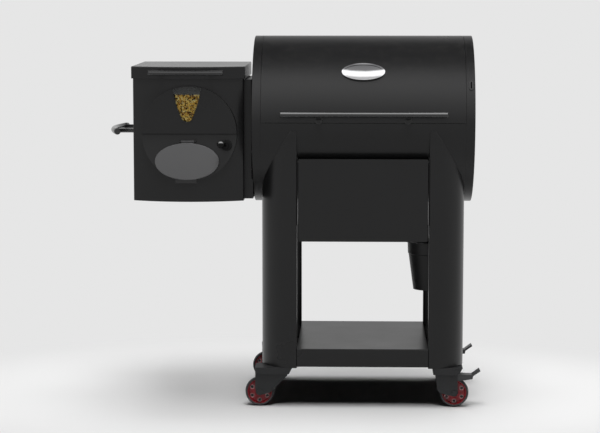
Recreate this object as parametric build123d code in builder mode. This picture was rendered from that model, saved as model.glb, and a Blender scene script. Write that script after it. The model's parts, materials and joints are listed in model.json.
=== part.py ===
"""Pellet smoker grill: barrel cooker on wheeled legs with a pellet hopper on its left end.

Millimetres, +Z up, floor at z = 0, front towards -Y, x = 0 at the middle of the barrel.
"""

from build123d import *
import math
import os

os.makedirs("parts", exist_ok=True)

# Barrel
barrel_radius = 290.0
barrel_half = 378.0
barrel_z = 979.0
skin = 2.5
rim_width = 30.0
lid_hinge_angle = 50.0
lid_hinge_radius = barrel_radius + 10.0
lid_gap_angle = 0.25
drain_x = 220.0

# Legs and shelves
leg_out = 348.0
leg_in = 224.5
leg_corner = 118.0
leg_bottom = 139.5
leg_top = 952.0
leg_skin = 2.5
return_depth = 28.0
base_shelf_z = 206.5
base_lip = 62.0
front_shelf_low = 576.7
front_shelf_high = 857.6
front_shelf_half = 219.5
shelf_hinge_y = -279.0
shelf_hinge_z = 847.0

# Hopper
hopper_left = -784.5
hopper_right = -408.0
hopper_back = 160.0
hopper_side_y = -240.0
hopper_bow = 50.0
hopper_low = 711.0
hopper_high = 1163.5
hopper_skin = 2.0
hopper_mid = (hopper_left + hopper_right) / 2
hopper_lid_low = 1128.0
hopper_lid_front = 1168.0
hopper_lid_rear = 1173.0

# Round fascia and the sloping control panel in its lower half
fascia_x = -590.0
fascia_z = 943.3
fascia_radius = 162.0
fascia_y = -293.0
panel_setback = 18.0
cover_x = -597.0
cover_z = 848.0
lever_x = -462.6
lever_z = 903.4
window_x = -596.0
window_arch = 157.5
window_low = 983.0

# Fire and feed
feed_z = 780.0
broiler_z = 855.0
broiler_tilt = 1.2

# Casters
wheel_radius = 50.0
wheel_width = 30.0
caster_trail = 28.0
caster_y = 240.0
swivel_left = -326.0
swivel_right = 288.0
running = 0.06


def finish(piece, name):
    """Label a finished piece and write its STEP file."""
    piece.part.label = name
    export_step(piece.part, f"parts/{name}.step")


def finish_set(name, *pieces):
    """Write several pieces that share one node as separate solids."""
    group = Compound(children=[solid for piece in pieces for solid in piece.part.solids()])
    group.label = name
    export_step(group, f"parts/{name}.step")


def rod_x(x0, x1, y, z, r, mode=Mode.ADD):
    with BuildSketch(Plane.YZ.offset(x0)) as disc:
        with Locations((y, z)):
            Circle(r)
    extrude(disc.sketch, amount=x1 - x0, mode=mode)


def rod_y(x, y0, y1, z, r, mode=Mode.ADD):
    with BuildSketch(Plane.XZ.offset(-y0)) as disc:
        with Locations((x, z)):
            Circle(r)
    extrude(disc.sketch, amount=y0 - y1, mode=mode)


def rod_z(x, y, z0, z1, r, mode=Mode.ADD):
    with BuildSketch(Plane.XY.offset(z0)) as disc:
        with Locations((x, y)):
            Circle(r)
    extrude(disc.sketch, amount=z1 - z0, mode=mode)


def block(x0, x1, y0, y1, z0, z1, mode=Mode.ADD):
    with BuildSketch(Plane.XY.offset(z0)) as base:
        with Locations(((x0 + x1) / 2, (y0 + y1) / 2)):
            Rectangle(x1 - x0, y1 - y0)
    extrude(base.sketch, amount=z1 - z0, mode=mode)


def prism_x(points, x0, x1, mode=Mode.ADD):
    """Extrude a (y, z) outline along X."""
    with BuildSketch(Plane.YZ.offset(x0)) as outline:
        with BuildLine():
            Polyline(*points, close=True)
        make_face()
    extrude(outline.sketch, amount=x1 - x0, mode=mode)


def prism_y(points, y0, y1, mode=Mode.ADD):
    """Extrude an (x, z) outline along Y, from y0 to y1."""
    with BuildSketch(Plane.XZ.offset(-y0)) as outline:
        with BuildLine():
            Polyline(*points, close=True)
        make_face()
    extrude(outline.sketch, amount=y0 - y1, mode=mode)


def arc_band(inner, outer, start, end, x0, x1, mode=Mode.ADD):
    """A curved plate about the barrel's axis, angles from +Y towards +Z."""
    with BuildSketch(Plane.YZ.offset(x0)) as band:
        with BuildLine():
            rim = CenterArc((0, barrel_z), outer, start, end - start)
            bore = CenterArc((0, barrel_z), inner, start, end - start)
            Line(rim @ 0, bore @ 0)
            Line(rim @ 1, bore @ 1)
        make_face()
    extrude(band.sketch, amount=x1 - x0, mode=mode)


def on_barrel(angle, radius):
    """(y, z) of a point at an angle and radius about the barrel's axis."""
    turn = math.radians(angle)
    return radius * math.cos(turn), barrel_z + radius * math.sin(turn)


def radial_plane(x, angle, radius):
    """A plane that lies on the barrel, its normal pointing outwards and its x along X."""
    y, z = on_barrel(angle, radius)
    turn = math.radians(angle)
    return Plane(origin=(x, y, z), x_dir=(1, 0, 0), z_dir=(0, math.cos(turn), math.sin(turn)))


# ---- Barrel -------------------------------------------------------------------------------

shell_half = barrel_half - rim_width
inner_radius = barrel_radius - skin
ledge_radius = inner_radius - 0.9
hinge_xs = (-240.0, 240.0)
pin_radius = 4.0
knuckle_radius = 8.0
knuckle_half = 9.5
leaf_half = 30.0
leaf_skin = 3.0
probe_port_angle = 154.0
probe_port_x = 364.0
duct_y = 90.0
duct_z = 740.0
flame_rod_y = -153.0
slot_pitch = 36.0
chamber_probe_z = 1010.0
slope = math.tan(math.radians(broiler_tilt))


def broiler_height(x):
    """Height of the flame broiler's top face at x: it falls towards the drain."""
    return broiler_z - x * slope


def rod_height(x):
    """Height of the flame slide's rod at x."""
    return broiler_height(x) + 9.0


def end_cap(side):
    """Pressed end with a rim ring and a stepped ledge that the shell and the lid close on."""
    with BuildPart() as cap:
        with BuildSketch(Plane(origin=(0, 0, barrel_z), x_dir=(1, 0, 0), z_dir=(0, 0, 1))):
            with BuildLine():
                Polyline(
                    (side * barrel_half, 0),
                    (side * barrel_half, barrel_radius),
                    (side * shell_half, barrel_radius),
                    (side * shell_half, ledge_radius),
                    (side * (shell_half - 14), ledge_radius),
                    (side * (shell_half - 14), ledge_radius - skin),
                    (side * (shell_half + skin), ledge_radius - skin),
                    (side * (shell_half + skin), inner_radius),
                    (side * (barrel_half - skin), inner_radius),
                    (side * (barrel_half - skin), 0),
                    close=True,
                )
            make_face()
        revolve(axis=Axis((0, 0, barrel_z), (1, 0, 0)))
        fillet(cap.edges().filter_by(GeomType.CIRCLE).group_by(Axis.X)[-1 if side > 0 else 0], 2.0)
        if side < 0:
            wall = (-barrel_half - 5, -barrel_half + 20)
            rod_x(*wall, 0, feed_z, 30.0, Mode.SUBTRACT)
            rod_x(*wall, flame_rod_y, rod_height(-barrel_half), 6.5, Mode.SUBTRACT)
            rod_x(*wall, 60, chamber_probe_z, 3.0, Mode.SUBTRACT)
            block(*wall, duct_y - 18, duct_y + 18, duct_z - 12, duct_z + 12, Mode.SUBTRACT)
        else:
            with BuildSketch(radial_plane(probe_port_x, probe_port_angle, barrel_radius)) as port:
                SlotOverall(32, 12, rotation=90)
            extrude(port.sketch, amount=8, both=True, mode=Mode.SUBTRACT)
    return cap


finish(end_cap(-1), "end_cap_left")
finish(end_cap(1), "end_cap_right")

with BuildPart() as probe_grommet:
    with BuildSketch(radial_plane(probe_port_x, probe_port_angle, barrel_radius)) as body:
        SlotOverall(32, 12, rotation=90)
        SlotOverall(24, 4, rotation=90, mode=Mode.SUBTRACT)
    extrude(body.sketch, amount=3)
    extrude(body.sketch, amount=-6)
    with BuildSketch(radial_plane(probe_port_x, probe_port_angle, barrel_radius + 0.8)) as lip:
        SlotOverall(35, 15, rotation=90)
        SlotOverall(24, 4, rotation=90, mode=Mode.SUBTRACT)
    extrude(lip.sketch, amount=2.2)
finish(probe_grommet, "probe_grommet")

front_flange = 18.0
grate_z = 951.0
grate_half_depth = 262.0
back_angle = 360 + lid_hinge_angle - lid_gap_angle
exhaust_angle = 22.0
exhaust_slots = 8
exhaust_pitch = 68.0

with BuildPart() as barrel_shell:
    arc_band(inner_radius, barrel_radius, 180, back_angle, -shell_half, shell_half)
    block(-shell_half + 16, shell_half - 16, -inner_radius - 1, -inner_radius + front_flange,
          barrel_z - skin, barrel_z)
    for front in (-1, 1):
        near, far = sorted((front * (inner_radius - 1), front * (grate_half_depth - 10)))
        block(-shell_half + 16, shell_half - 16, near, far, grate_z - 3, grate_z)
    rod_z(drain_x, 0, barrel_z - barrel_radius - 5, barrel_z - inner_radius + 5, 10, Mode.SUBTRACT)
    for number in range(exhaust_slots):
        at = (number - (exhaust_slots - 1) / 2) * exhaust_pitch
        with BuildSketch(radial_plane(at, exhaust_angle, barrel_radius)) as vent:
            SlotOverall(48, 9)
        extrude(vent.sketch, amount=8, both=True, mode=Mode.SUBTRACT)
finish(barrel_shell, "barrel_shell")

hood_half = 285.0
hood_top = on_barrel(31, barrel_radius)
hood_low = on_barrel(8, barrel_radius)
hood_out = 326.0
with BuildPart() as exhaust_hood:
    prism_x(
        [(hood_top[0] - 20, hood_top[1]), hood_top, (hood_out, hood_top[1] - 42), (hood_out, hood_low[1]),
         (hood_low[0] - 20, hood_low[1])],
        -hood_half, hood_half)
    prism_x(
        [(hood_top[0] - 30, hood_top[1] - 2), (hood_top[0] - 0.7, hood_top[1] - 2),
         (hood_out - 1.5, hood_top[1] - 43), (hood_out - 1.5, hood_low[1] - 5),
         (hood_low[0] - 30, hood_low[1] - 5)],
        -hood_half + 1.5, hood_half - 1.5, Mode.SUBTRACT)
    rod_x(-hood_half - 5, hood_half + 5, 0, barrel_z, barrel_radius, Mode.SUBTRACT)
finish(exhaust_hood, "exhaust_hood")

# ---- Lid ----------------------------------------------------------------------------------

lid_half = shell_half - 1.0
lid_start = lid_hinge_angle + lid_gap_angle
with BuildPart() as lid:
    arc_band(inner_radius, barrel_radius, lid_start, 180 - lid_gap_angle, -lid_half, lid_half)
    lid_edge_z = on_barrel(180 - lid_gap_angle, barrel_radius)[1]
    block(-lid_half + 20, lid_half - 20, -inner_radius - 1, -inner_radius + 9, lid_edge_z, lid_edge_z + skin)
    for x in hinge_xs:
        arc_band(barrel_radius - 0.5, barrel_radius + leaf_skin, lid_start, 54, x - knuckle_half, x + knuckle_half)
        arc_band(barrel_radius - 0.5, barrel_radius + leaf_skin, 53.5, 61, x - leaf_half, x + leaf_half)
        rod_x(x - knuckle_half, x + knuckle_half, *on_barrel(lid_hinge_angle, lid_hinge_radius), knuckle_radius)
        rod_x(x - knuckle_half - 1, x + knuckle_half + 1, *on_barrel(lid_hinge_angle, lid_hinge_radius),
              pin_radius + running, Mode.SUBTRACT)
finish(lid, "lid")

with BuildPart() as lid_hinges:
    for x in hinge_xs:
        arc_band(barrel_radius, barrel_radius + leaf_skin, 40, 48.2, x - leaf_half, x + leaf_half)
        for end in (-1, 1):
            inner, outer = sorted((x + end * (knuckle_half + 0.5), x + end * leaf_half))
            rod_x(inner, outer, *on_barrel(lid_hinge_angle, lid_hinge_radius), knuckle_radius)
            prism_x(
                [on_barrel(48.2, barrel_radius), on_barrel(48.2, barrel_radius + leaf_skin),
                 on_barrel(49, lid_hinge_radius + 6), on_barrel(49.4, barrel_radius + 2.2),
                 on_barrel(49, barrel_radius + 0.4)],
                inner, outer)
        rod_x(x - leaf_half - 1, x + leaf_half + 1, *on_barrel(lid_hinge_angle, lid_hinge_radius), pin_radius,
              Mode.SUBTRACT)
with BuildPart() as lid_pins:
    for x in hinge_xs:
        rod_x(x - leaf_half - 3, x + leaf_half, *on_barrel(lid_hinge_angle, lid_hinge_radius), pin_radius)
        rod_x(x - leaf_half - 3, x - leaf_half, *on_barrel(lid_hinge_angle, lid_hinge_radius), 6.5)
finish_set("lid_hinges", lid_hinges, lid_pins)


def waisted_bar(center, half, end_radius, waist_radius, along):
    """A round grip that thins gently towards its middle, made on its own and added at its place."""
    with BuildPart(mode=Mode.PRIVATE) as bar:
        with BuildSketch(Plane.XY):
            with BuildLine():
                Line((-half, 0), (-half, end_radius - 2))
                Line((-half, end_radius - 2), (-half + 2, end_radius))
                Bezier((-half + 2, end_radius), (0, 2 * waist_radius - end_radius), (half - 2, end_radius))
                Line((half - 2, end_radius), (half, end_radius - 2))
                Line((half, end_radius - 2), (half, 0))
                Line((half, 0), (-half, 0))
            make_face()
        revolve(axis=Axis.X)
    turned = bar.part if along == "x" else bar.part.rotate(Axis.Z, 90)
    return turned.translate(center)


lid_bar_y = -345.0
lid_bar_z = 1012.5
lid_bar_half = 281.5
lid_bar_radius = 10.8
lid_post_x = 151.0
lid_post_z = 990.0
lid_bar = waisted_bar((2.0, lid_bar_y, lid_bar_z), lid_bar_half, lid_bar_radius, 9.2, "x")
with BuildPart() as lid_handle:
    add(lid_bar)
    for x in (-lid_post_x, lid_post_x):
        prism_x(
            [(lid_bar_y + 4, lid_bar_z - 8), (-270, lid_post_z - 8), (-270, lid_post_z + 8),
             (lid_bar_y + 4, lid_bar_z + 6)],
            x - 8, x + 8)
        rod_y(x, -296, -270, lid_post_z, 14)
    rod_x(-barrel_half, barrel_half, 0, barrel_z, barrel_radius, Mode.SUBTRACT)
finish(lid_handle, "lid_handle")

badge_angle = 144.2
with BuildPart() as badge:
    with BuildSketch(radial_plane(0, badge_angle, barrel_radius - 12)) as oval:
        Ellipse(73.5, 34)
    extrude(oval.sketch, amount=18.5)
    with BuildSketch(radial_plane(0, badge_angle, barrel_radius - 12)) as field:
        Ellipse(67, 28)
    extrude(field.sketch, amount=18.5, mode=Mode.SUBTRACT)
    extrude(field.sketch, amount=16.5)
    rod_x(-100, 100, 0, barrel_z, barrel_radius, Mode.SUBTRACT)
finish(badge, "badge")

# ---- Grates and fire ----------------------------------------------------------------------

grate_gap = 2.0
grate_end = 330.0
bar_pitch = 19.0
bars = 16
with BuildPart() as cooking_grates:
    for side in (-1, 1):
        near, far = sorted((side * grate_gap, side * grate_end))
        block(near, far, -grate_half_depth, grate_half_depth, grate_z, grate_z + 8)
        middle = (near + far) / 2
        for number in range(bars):
            x = middle + (number - (bars - 1) / 2) * bar_pitch
            for y in (-130, 130):
                block(x - 5.5, x + 5.5, y - 118, y + 118, grate_z - 1, grate_z + 9, Mode.SUBTRACT)
finish(cooking_grates, "cooking_grates")

rack_z = 1086.0
rack_half = 332.0
rack_front = -60.0
rack_back = 200.0
rack_wires = 15
with BuildPart() as warming_rack:
    block(-rack_half, rack_half, rack_front, rack_back, rack_z, rack_z + 6)
    cell = (rack_back - rack_front - 12) / rack_wires
    for number in range(rack_wires):
        y = rack_front + 6 + cell * (number + 0.5)
        for x in (-166, 166):
            block(x - 158, x + 158, y - cell / 2 + 2.5, y + cell / 2 - 2.5, rack_z - 1, rack_z + 7, Mode.SUBTRACT)
    for side in (-1, 1):
        foot = sorted((side * rack_half, side * (barrel_half - skin)))
        for y in (rack_front + 20, rack_back - 20):
            block(*foot, y - 8, y + 8, rack_z, rack_z + 4)
finish(warming_rack, "warming_rack")

tilt = math.radians(broiler_tilt)
broiler_plane = Plane(
    origin=(0, 0, broiler_z), x_dir=(math.cos(tilt), 0, -math.sin(tilt)), z_dir=(math.sin(tilt), 0, math.cos(tilt)))
flame_slots = 5
flame_slot_width = 16.0
flame_slot_length = 150.0
with BuildPart() as flame_broiler:
    with BuildSketch(broiler_plane.offset(-3)) as plate:
        Rectangle(640, 420)
        with Locations(*[((number - (flame_slots - 1) / 2) * slot_pitch, 0) for number in range(flame_slots)]):
            Rectangle(flame_slot_width, flame_slot_length, mode=Mode.SUBTRACT)
    extrude(plate.sketch, amount=3)
    with BuildSketch(broiler_plane.offset(-14)) as lip:
        with Locations((0, -209), (0, 209)):
            Rectangle(640, 2)
    extrude(lip.sketch, amount=14)
    for y in (-160, 160):
        for x in (-250, 250):
            foot = barrel_z - math.sqrt(inner_radius ** 2 - (abs(y) - 10) ** 2) - 30
            block(x - 12, x + 12, y - 10, y + 10, foot, broiler_height(x) - 2)
    rod_x(-barrel_half, barrel_half, 0, barrel_z, inner_radius, Mode.INTERSECT)
finish(flame_broiler, "flame_broiler")

crank_y = -150.0
crank_reach = lever_z - rod_height(lever_x)
pin_play = 0.8
crank_pin = 4.0
with BuildPart() as flame_slide:
    with BuildSketch(broiler_plane.offset(0.4)) as plate:
        Rectangle(196, 292)
        with Locations(*[((number - 2) * slot_pitch, 0) for number in range(flame_slots)]):
            Rectangle(flame_slot_width, flame_slot_length, mode=Mode.SUBTRACT)
    extrude(plate.sketch, amount=2.5)
    with BuildSketch(broiler_plane.offset(0.4)) as tab:
        with Locations((-85, flame_rod_y + 4)):
            Rectangle(26, 16)
    extrude(tab.sketch, amount=12)
    rod_start = Vector(lever_x + 10, flame_rod_y, rod_height(lever_x + 10))
    rod_end = Vector(-80, flame_rod_y, rod_height(-80))
    with BuildSketch(Plane(origin=rod_start, z_dir=rod_end - rod_start)) as rod:
        Circle(5)
    extrude(rod.sketch, amount=(rod_end - rod_start).length)
    block(lever_x - 12, lever_x + 14, flame_rod_y - 3, flame_rod_y + 3, lever_z - crank_reach - 18,
          lever_z - crank_reach + 18)
    block(lever_x - crank_pin - pin_play, lever_x + crank_pin + pin_play, flame_rod_y - 10, flame_rod_y + 10,
          lever_z - crank_reach - crank_pin - 2, lever_z - crank_reach + crank_pin + 6, Mode.SUBTRACT)
finish(flame_slide, "flame_slide")

pot_radius = 50.0
box_half = 62.0
box_top = 770.0
tube_radius = 30.0
tube_bore = 27.5
screw_radius = 25.0
screw_pitch = 46.0
shaft_radius = 8.0
journal_radius = 6.0
motor_face = -708.0
tube_left = -700.0
tube_right = -pot_radius - 4
igniter_z = 741.0
with BuildPart() as fire_box:
    block(-box_half, box_half, -box_half, duct_y + 26, 680, box_top)
    block(-box_half + 2, box_half - 2, -box_half + 2, duct_y + 24, 670, box_top - 2, Mode.SUBTRACT)
    rod_z(0, 0, box_top - 5, box_top + 5, pot_radius, Mode.SUBTRACT)
    block(-box_half - 5, -box_half + 5, duct_y - 18, duct_y + 18, duct_z - 12, duct_z + 12, Mode.SUBTRACT)
    rod_x(-box_half - 5, -box_half + 5, 0, igniter_z, 5, Mode.SUBTRACT)
    block(-box_half - 5, -box_half + 15, -tube_radius, tube_radius, feed_z - tube_radius, box_top + 5, Mode.SUBTRACT)
    rod_x(-barrel_half, barrel_half, 0, barrel_z, inner_radius, Mode.INTERSECT)
finish(fire_box, "fire_box")

with BuildPart() as burn_pot:
    rod_z(0, 0, 716, 822, pot_radius)
    rod_z(0, 0, 719, 830, pot_radius - 3, Mode.SUBTRACT)
    rod_z(0, 0, 770, 773, pot_radius + 7)
    rod_z(0, 0, 719, 830, pot_radius - 3, Mode.SUBTRACT)
    rod_x(-pot_radius - 20, -20, 0, feed_z, tube_radius, Mode.SUBTRACT)
    rod_x(-pot_radius - 5, -20, 0, igniter_z, 5, Mode.SUBTRACT)
    for number in range(10):
        turn = math.radians(36 * number + 18)
        with BuildSketch(Plane(origin=(0, 0, 736), z_dir=(math.cos(turn), math.sin(turn), 0))) as air_hole:
            Circle(3)
        extrude(air_hole.sketch, amount=pot_radius + 5, mode=Mode.SUBTRACT)
finish(burn_pot, "burn_pot")

with BuildPart() as igniter:
    rod_x(-104, -38, 0, igniter_z, 5)
    rod_x(-110, -104, 0, igniter_z, 7)
finish(igniter, "igniter")

throat_x = -600.0
throat_half_x = 40.0
throat_half_y = 24.0
with BuildPart() as auger_tube:
    rod_x(tube_left, tube_right, 0, feed_z, tube_radius)
    rod_x(tube_left + 3, tube_right + 5, 0, feed_z, tube_bore, Mode.SUBTRACT)
    rod_x(tube_left - 5, tube_left + 5, 0, feed_z, journal_radius + 4, Mode.SUBTRACT)
    block(throat_x - throat_half_x + 3, throat_x + throat_half_x - 3, -throat_half_y + 3, throat_half_y - 3,
          feed_z, feed_z + 40, Mode.SUBTRACT)
finish(auger_tube, "auger_tube")

screw_start = tube_left + 12
screw_turns = 13
with BuildPart(mode=Mode.PRIVATE) as flight:
    with BuildLine() as spiral:
        Helix(pitch=screw_pitch, height=screw_pitch * screw_turns, radius=(screw_radius + shaft_radius) / 2)
    with BuildSketch(
        Plane(origin=((screw_radius + shaft_radius) / 2, 0, 0), x_dir=(1, 0, 0), z_dir=(0, 1, 0))
    ) as blade:
        Rectangle(screw_radius - shaft_radius + 2, 3.5)
    sweep(blade.sketch, path=spiral.wires()[0], is_frenet=True)
with BuildPart() as auger:
    add(flight.part.rotate(Axis.Y, 90).translate((screw_start, 0, feed_z)))
    rod_x(tube_left + 5, screw_start + screw_pitch * screw_turns + 6, 0, feed_z, shaft_radius)
    rod_x(motor_face - 24, tube_left + 8, 0, feed_z, journal_radius)
finish(auger, "auger")

with BuildPart() as auger_motor:
    block(motor_face - 34, motor_face, -32, 32, feed_z - 32, feed_z + 32)
    fillet(auger_motor.edges().filter_by(Axis.X), 6)
    rod_x(hopper_left + 8, motor_face - 34, 0, feed_z, 27)
    rod_x(motor_face - 26, motor_face + 5, 0, feed_z, journal_radius + running, Mode.SUBTRACT)
    block(motor_face - 30, motor_face - 4, -20, 20, hopper_low + hopper_skin, feed_z - 30)
finish(auger_motor, "auger_motor")

blower_x = -590.0
blower_z = 778.0
blower_radius = 50.0
with BuildPart() as blower:
    rod_y(blower_x, duct_y - 18, duct_y + 18, blower_z, blower_radius)
    block(blower_x, -box_half, duct_y - 18, duct_y + 18, duct_z - 12, duct_z + 12)
    block(blower_x - 20, blower_x + 20, duct_y - 14, duct_y + 14, hopper_low + hopper_skin, duct_z)
    rod_y(blower_x, duct_y - 16, duct_y + 16, blower_z, blower_radius - 2, Mode.SUBTRACT)
    block(blower_x, -box_half + 1, duct_y - 16, duct_y + 16, duct_z - 10, duct_z + 10, Mode.SUBTRACT)
    rod_y(blower_x, duct_y - 30, duct_y - 10, blower_z, 26, Mode.SUBTRACT)
    rod_y(blower_x, duct_y + 16, duct_y + 46, blower_z, 20)
    rod_y(blower_x, duct_y + 10, duct_y + 40, blower_z, 3 + running, Mode.SUBTRACT)
finish(blower, "blower")

blades = 12
with BuildPart() as fan_wheel:
    rod_y(blower_x, duct_y + 8, duct_y + 10, blower_z, 38)
    rod_y(blower_x, duct_y - 4, duct_y + 34, blower_z, 3)
    rod_y(blower_x, duct_y - 4, duct_y + 9, blower_z, 8)
    with BuildSketch(Plane.XZ.offset(-(duct_y + 9))) as vanes:
        with Locations((blower_x, blower_z)):
            with PolarLocations(31, blades):
                Rectangle(13, 1.8, rotation=35)
    extrude(vanes.sketch, amount=20)
finish(fan_wheel, "fan_wheel")

with BuildPart() as chamber_probe:
    rod_x(-barrel_half - 8, -300, 60, chamber_probe_z, 3)
    rod_x(-barrel_half - 8, -barrel_half, 60, chamber_probe_z, 6)
finish(chamber_probe, "chamber_probe")

# ---- Grease drain -------------------------------------------------------------------------

bucket_x = 237.0
bucket_top = 545.0
bucket_low = 374.0
bucket_mouth = 80.0
bucket_foot = 57.0
hook_z = 615.0
bail_wire = 2.2
spout_low = 568.0
ear_z = bucket_top - 7.5
bail_half = bucket_mouth + 10
barrel_low = barrel_z - barrel_radius
with BuildPart() as drain_spout:
    rod_z(drain_x, 0, spout_low, barrel_z - inner_radius + 4, 10)
    rod_z(drain_x, 0, barrel_low - 14, barrel_low + 8, 16)
    rod_x(-barrel_half, barrel_half, 0, barrel_z, barrel_radius, Mode.SUBTRACT)
    rod_z(drain_x, 0, barrel_low - 10, barrel_z - inner_radius, 10)
    rod_z(drain_x, 0, spout_low - 5, barrel_z - inner_radius + 6, 8.5, Mode.SUBTRACT)
    prism_y(
        [(drain_x + 9, hook_z - 20), (bucket_x + 7, hook_z - 8), (bucket_x + 7, hook_z + 5),
         (bucket_x + 4, hook_z + 5), (bucket_x + 4, hook_z - bail_wire - 0.3), (bucket_x - 3.4, hook_z - bail_wire - 0.3),
         (drain_x + 9, hook_z - 2)],
        -4, 4)
finish(drain_spout, "drain_spout")

with BuildPart() as grease_bucket:
    with BuildSketch(Plane(origin=(bucket_x, 0, 0), x_dir=(1, 0, 0), z_dir=(0, -1, 0))):
        with BuildLine():
            Polyline(
                (0, bucket_low), (bucket_foot, bucket_low), (bucket_mouth - 6, 500), (bucket_mouth - 3.6, 503),
                (bucket_mouth - 2.2, bucket_top - 3), (bucket_mouth + 3, bucket_top - 3), (bucket_mouth + 3, bucket_top),
                (bucket_mouth - 3.6, bucket_top), (bucket_mouth - 5.2, 505), (bucket_mouth - 7.6, 502),
                (bucket_foot - 1.4, bucket_low + 1.5), (0, bucket_low + 1.5), close=True)
        make_face()
    revolve(axis=Axis((bucket_x, 0, 0), (0, 0, 1)))
    for side in (-1, 1):
        near, far = sorted((side * (bucket_mouth - 4.2), side * (bucket_mouth + 6)))
        block(bucket_x - 7, bucket_x + 7, near, far, bucket_top - 12, bucket_top - 3)
        rod_y(bucket_x, near - 5, far + 5, ear_z, bail_wire + 0.8, Mode.SUBTRACT)

with BuildPart() as bucket_bail:
    with BuildLine(Plane.YZ.offset(bucket_x)) as loop:
        ThreePointArc((-bail_half, ear_z), (0, hook_z), (bail_half, ear_z))
    with BuildSketch(Plane(origin=loop.line @ 0, z_dir=loop.line % 0)) as wire:
        Circle(bail_wire)
    sweep(wire.sketch, path=loop.line)
    for side in (-1, 1):
        near, far = sorted((side * (bail_half + bail_wire + 1), side * (bucket_mouth - 7)))
        rod_y(bucket_x, near, far, ear_z, bail_wire + 0.4)
finish_set("grease_bucket", grease_bucket, bucket_bail)

# ---- Legs and shelves ---------------------------------------------------------------------

bolt_radius = 3.0
shelf_bolt_zs = (160.0, 190.0)
shelf_pin = 4.0
bracket_in = 222.0


def leg_plan(z, inset=0.0, hollow=False):
    """Plan of a right-hand leg with a quarter-round corner at the front and at the back."""
    round_x = leg_out - leg_corner
    round_y = barrel_radius - leg_corner
    with BuildSketch(Plane.XY.offset(z)) as plan:
        with BuildLine():
            Line((leg_in, -barrel_radius), (round_x, -barrel_radius))
            CenterArc((round_x, -round_y), leg_corner, -90, 90)
            Line((leg_out, -round_y), (leg_out, round_y))
            CenterArc((round_x, round_y), leg_corner, 0, 90)
            Line((round_x, barrel_radius), (leg_in, barrel_radius))
            Line((leg_in, barrel_radius), (leg_in, -barrel_radius))
        make_face()
        fillet(plan.vertices().group_by(Axis.X)[0], 5.2)
        if inset:
            offset(amount=-inset, mode=Mode.REPLACE)
        if hollow:
            offset(amount=-leg_skin, mode=Mode.SUBTRACT)
            with Locations((leg_in + 1, 0)):
                Rectangle(4, 2 * (barrel_radius - return_depth), mode=Mode.SUBTRACT)
    return plan.sketch


def leg(side):
    """Folded sheet leg, open towards the other leg, with its base plate and shelf bracket."""
    with BuildPart() as post:
        extrude(leg_plan(leg_bottom, hollow=True), amount=leg_top - leg_bottom)
        extrude(leg_plan(leg_bottom, inset=0.5), amount=3)
        rod_x(0, barrel_half, 0, barrel_z, barrel_radius, Mode.SUBTRACT)
        for y in (-barrel_radius + 15, barrel_radius - 15):
            for z in shelf_bolt_zs:
                rod_x(leg_in - 5, leg_in + 8, y, z, bolt_radius, Mode.SUBTRACT)
        prism_x(
            [(-285, 632), (-285, 862), (-266, 862), (-254, 820), (-254, 650), (-262, 632)], bracket_in, leg_in)
        rod_x(leg_in - 11.5, leg_in, shelf_hinge_y, shelf_hinge_z, shelf_pin)
        rod_x(leg_in - 14.5, leg_in - 11.5, shelf_hinge_y, shelf_hinge_z, 7)
        if side < 0:
            mirror(about=Plane.YZ, mode=Mode.REPLACE)
    return post


finish(leg(-1), "leg_left")
finish(leg(1), "leg_right")

with BuildPart() as bottom_shelf:
    block(-leg_in, leg_in, -barrel_radius, barrel_radius, base_shelf_z - base_lip, base_shelf_z)
    fillet(bottom_shelf.edges().filter_by(Axis.X).group_by(Axis.Z)[-1], 3)
    block(-leg_in + 2, leg_in - 2, -barrel_radius + 2, barrel_radius - 2, 0, base_shelf_z - 2, Mode.SUBTRACT)
    for x in (-leg_in, leg_in):
        block(x - 5, x + 5, -barrel_radius + 40, barrel_radius - 40, 0, base_shelf_z - 22, Mode.SUBTRACT)
    for y in (-barrel_radius + 15, barrel_radius - 15):
        for z in shelf_bolt_zs:
            rod_x(-leg_in - 5, leg_in + 5, y, z, bolt_radius, Mode.SUBTRACT)
finish(bottom_shelf, "bottom_shelf")

with BuildPart() as shelf_bolts:
    for side in (-1, 1):
        for y in (-barrel_radius + 15, barrel_radius - 15):
            for z in shelf_bolt_zs:
                rod_x(*sorted((side * (leg_in - 2), side * (leg_in + 8))), y, z, bolt_radius)
                rod_x(*sorted((side * (leg_in - 6), side * (leg_in - 2))), y, z, 6)
                rod_x(*sorted((side * (leg_in + leg_skin), side * (leg_in + leg_skin + 3))), y, z, 5)
finish(shelf_bolts, "shelf_bolts")

shelf_front = -292.0
shelf_fold = 24.0
with BuildPart() as front_shelf:
    block(-front_shelf_half, front_shelf_half, shelf_front, shelf_front + shelf_fold, front_shelf_low,
          front_shelf_high)
    fillet(front_shelf.edges().filter_by(Axis.Y), 4)
    block(-front_shelf_half + 2, front_shelf_half - 2, shelf_front + 2, shelf_front + shelf_fold + 5,
          front_shelf_low + 2, front_shelf_high - 2, Mode.SUBTRACT)
    for side in (-1, 1):
        rod_x(*sorted((side * (front_shelf_half - 3), side * (front_shelf_half + 3))), shelf_hinge_y, shelf_hinge_z,
              shelf_pin + running, Mode.SUBTRACT)
    for z in (front_shelf_low + 94, front_shelf_low + 187):
        block(-front_shelf_half + 1, front_shelf_half - 1, shelf_front + 1, shelf_front + 14, z - 1, z + 1)
finish(front_shelf, "front_shelf")

# ---- Hopper -------------------------------------------------------------------------------

frame_margin = 4.0
neck_front = -198.0
neck_back = 140.0
neck_low = 714.0
neck_high = 1123.0
grip_x = -848.0
grip_mid = -27.5
grip_z = 942.0
grip_arm_ys = (-133.0, 85.0)
inlet_x = -696.0
inlet_z = 771.0


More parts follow.
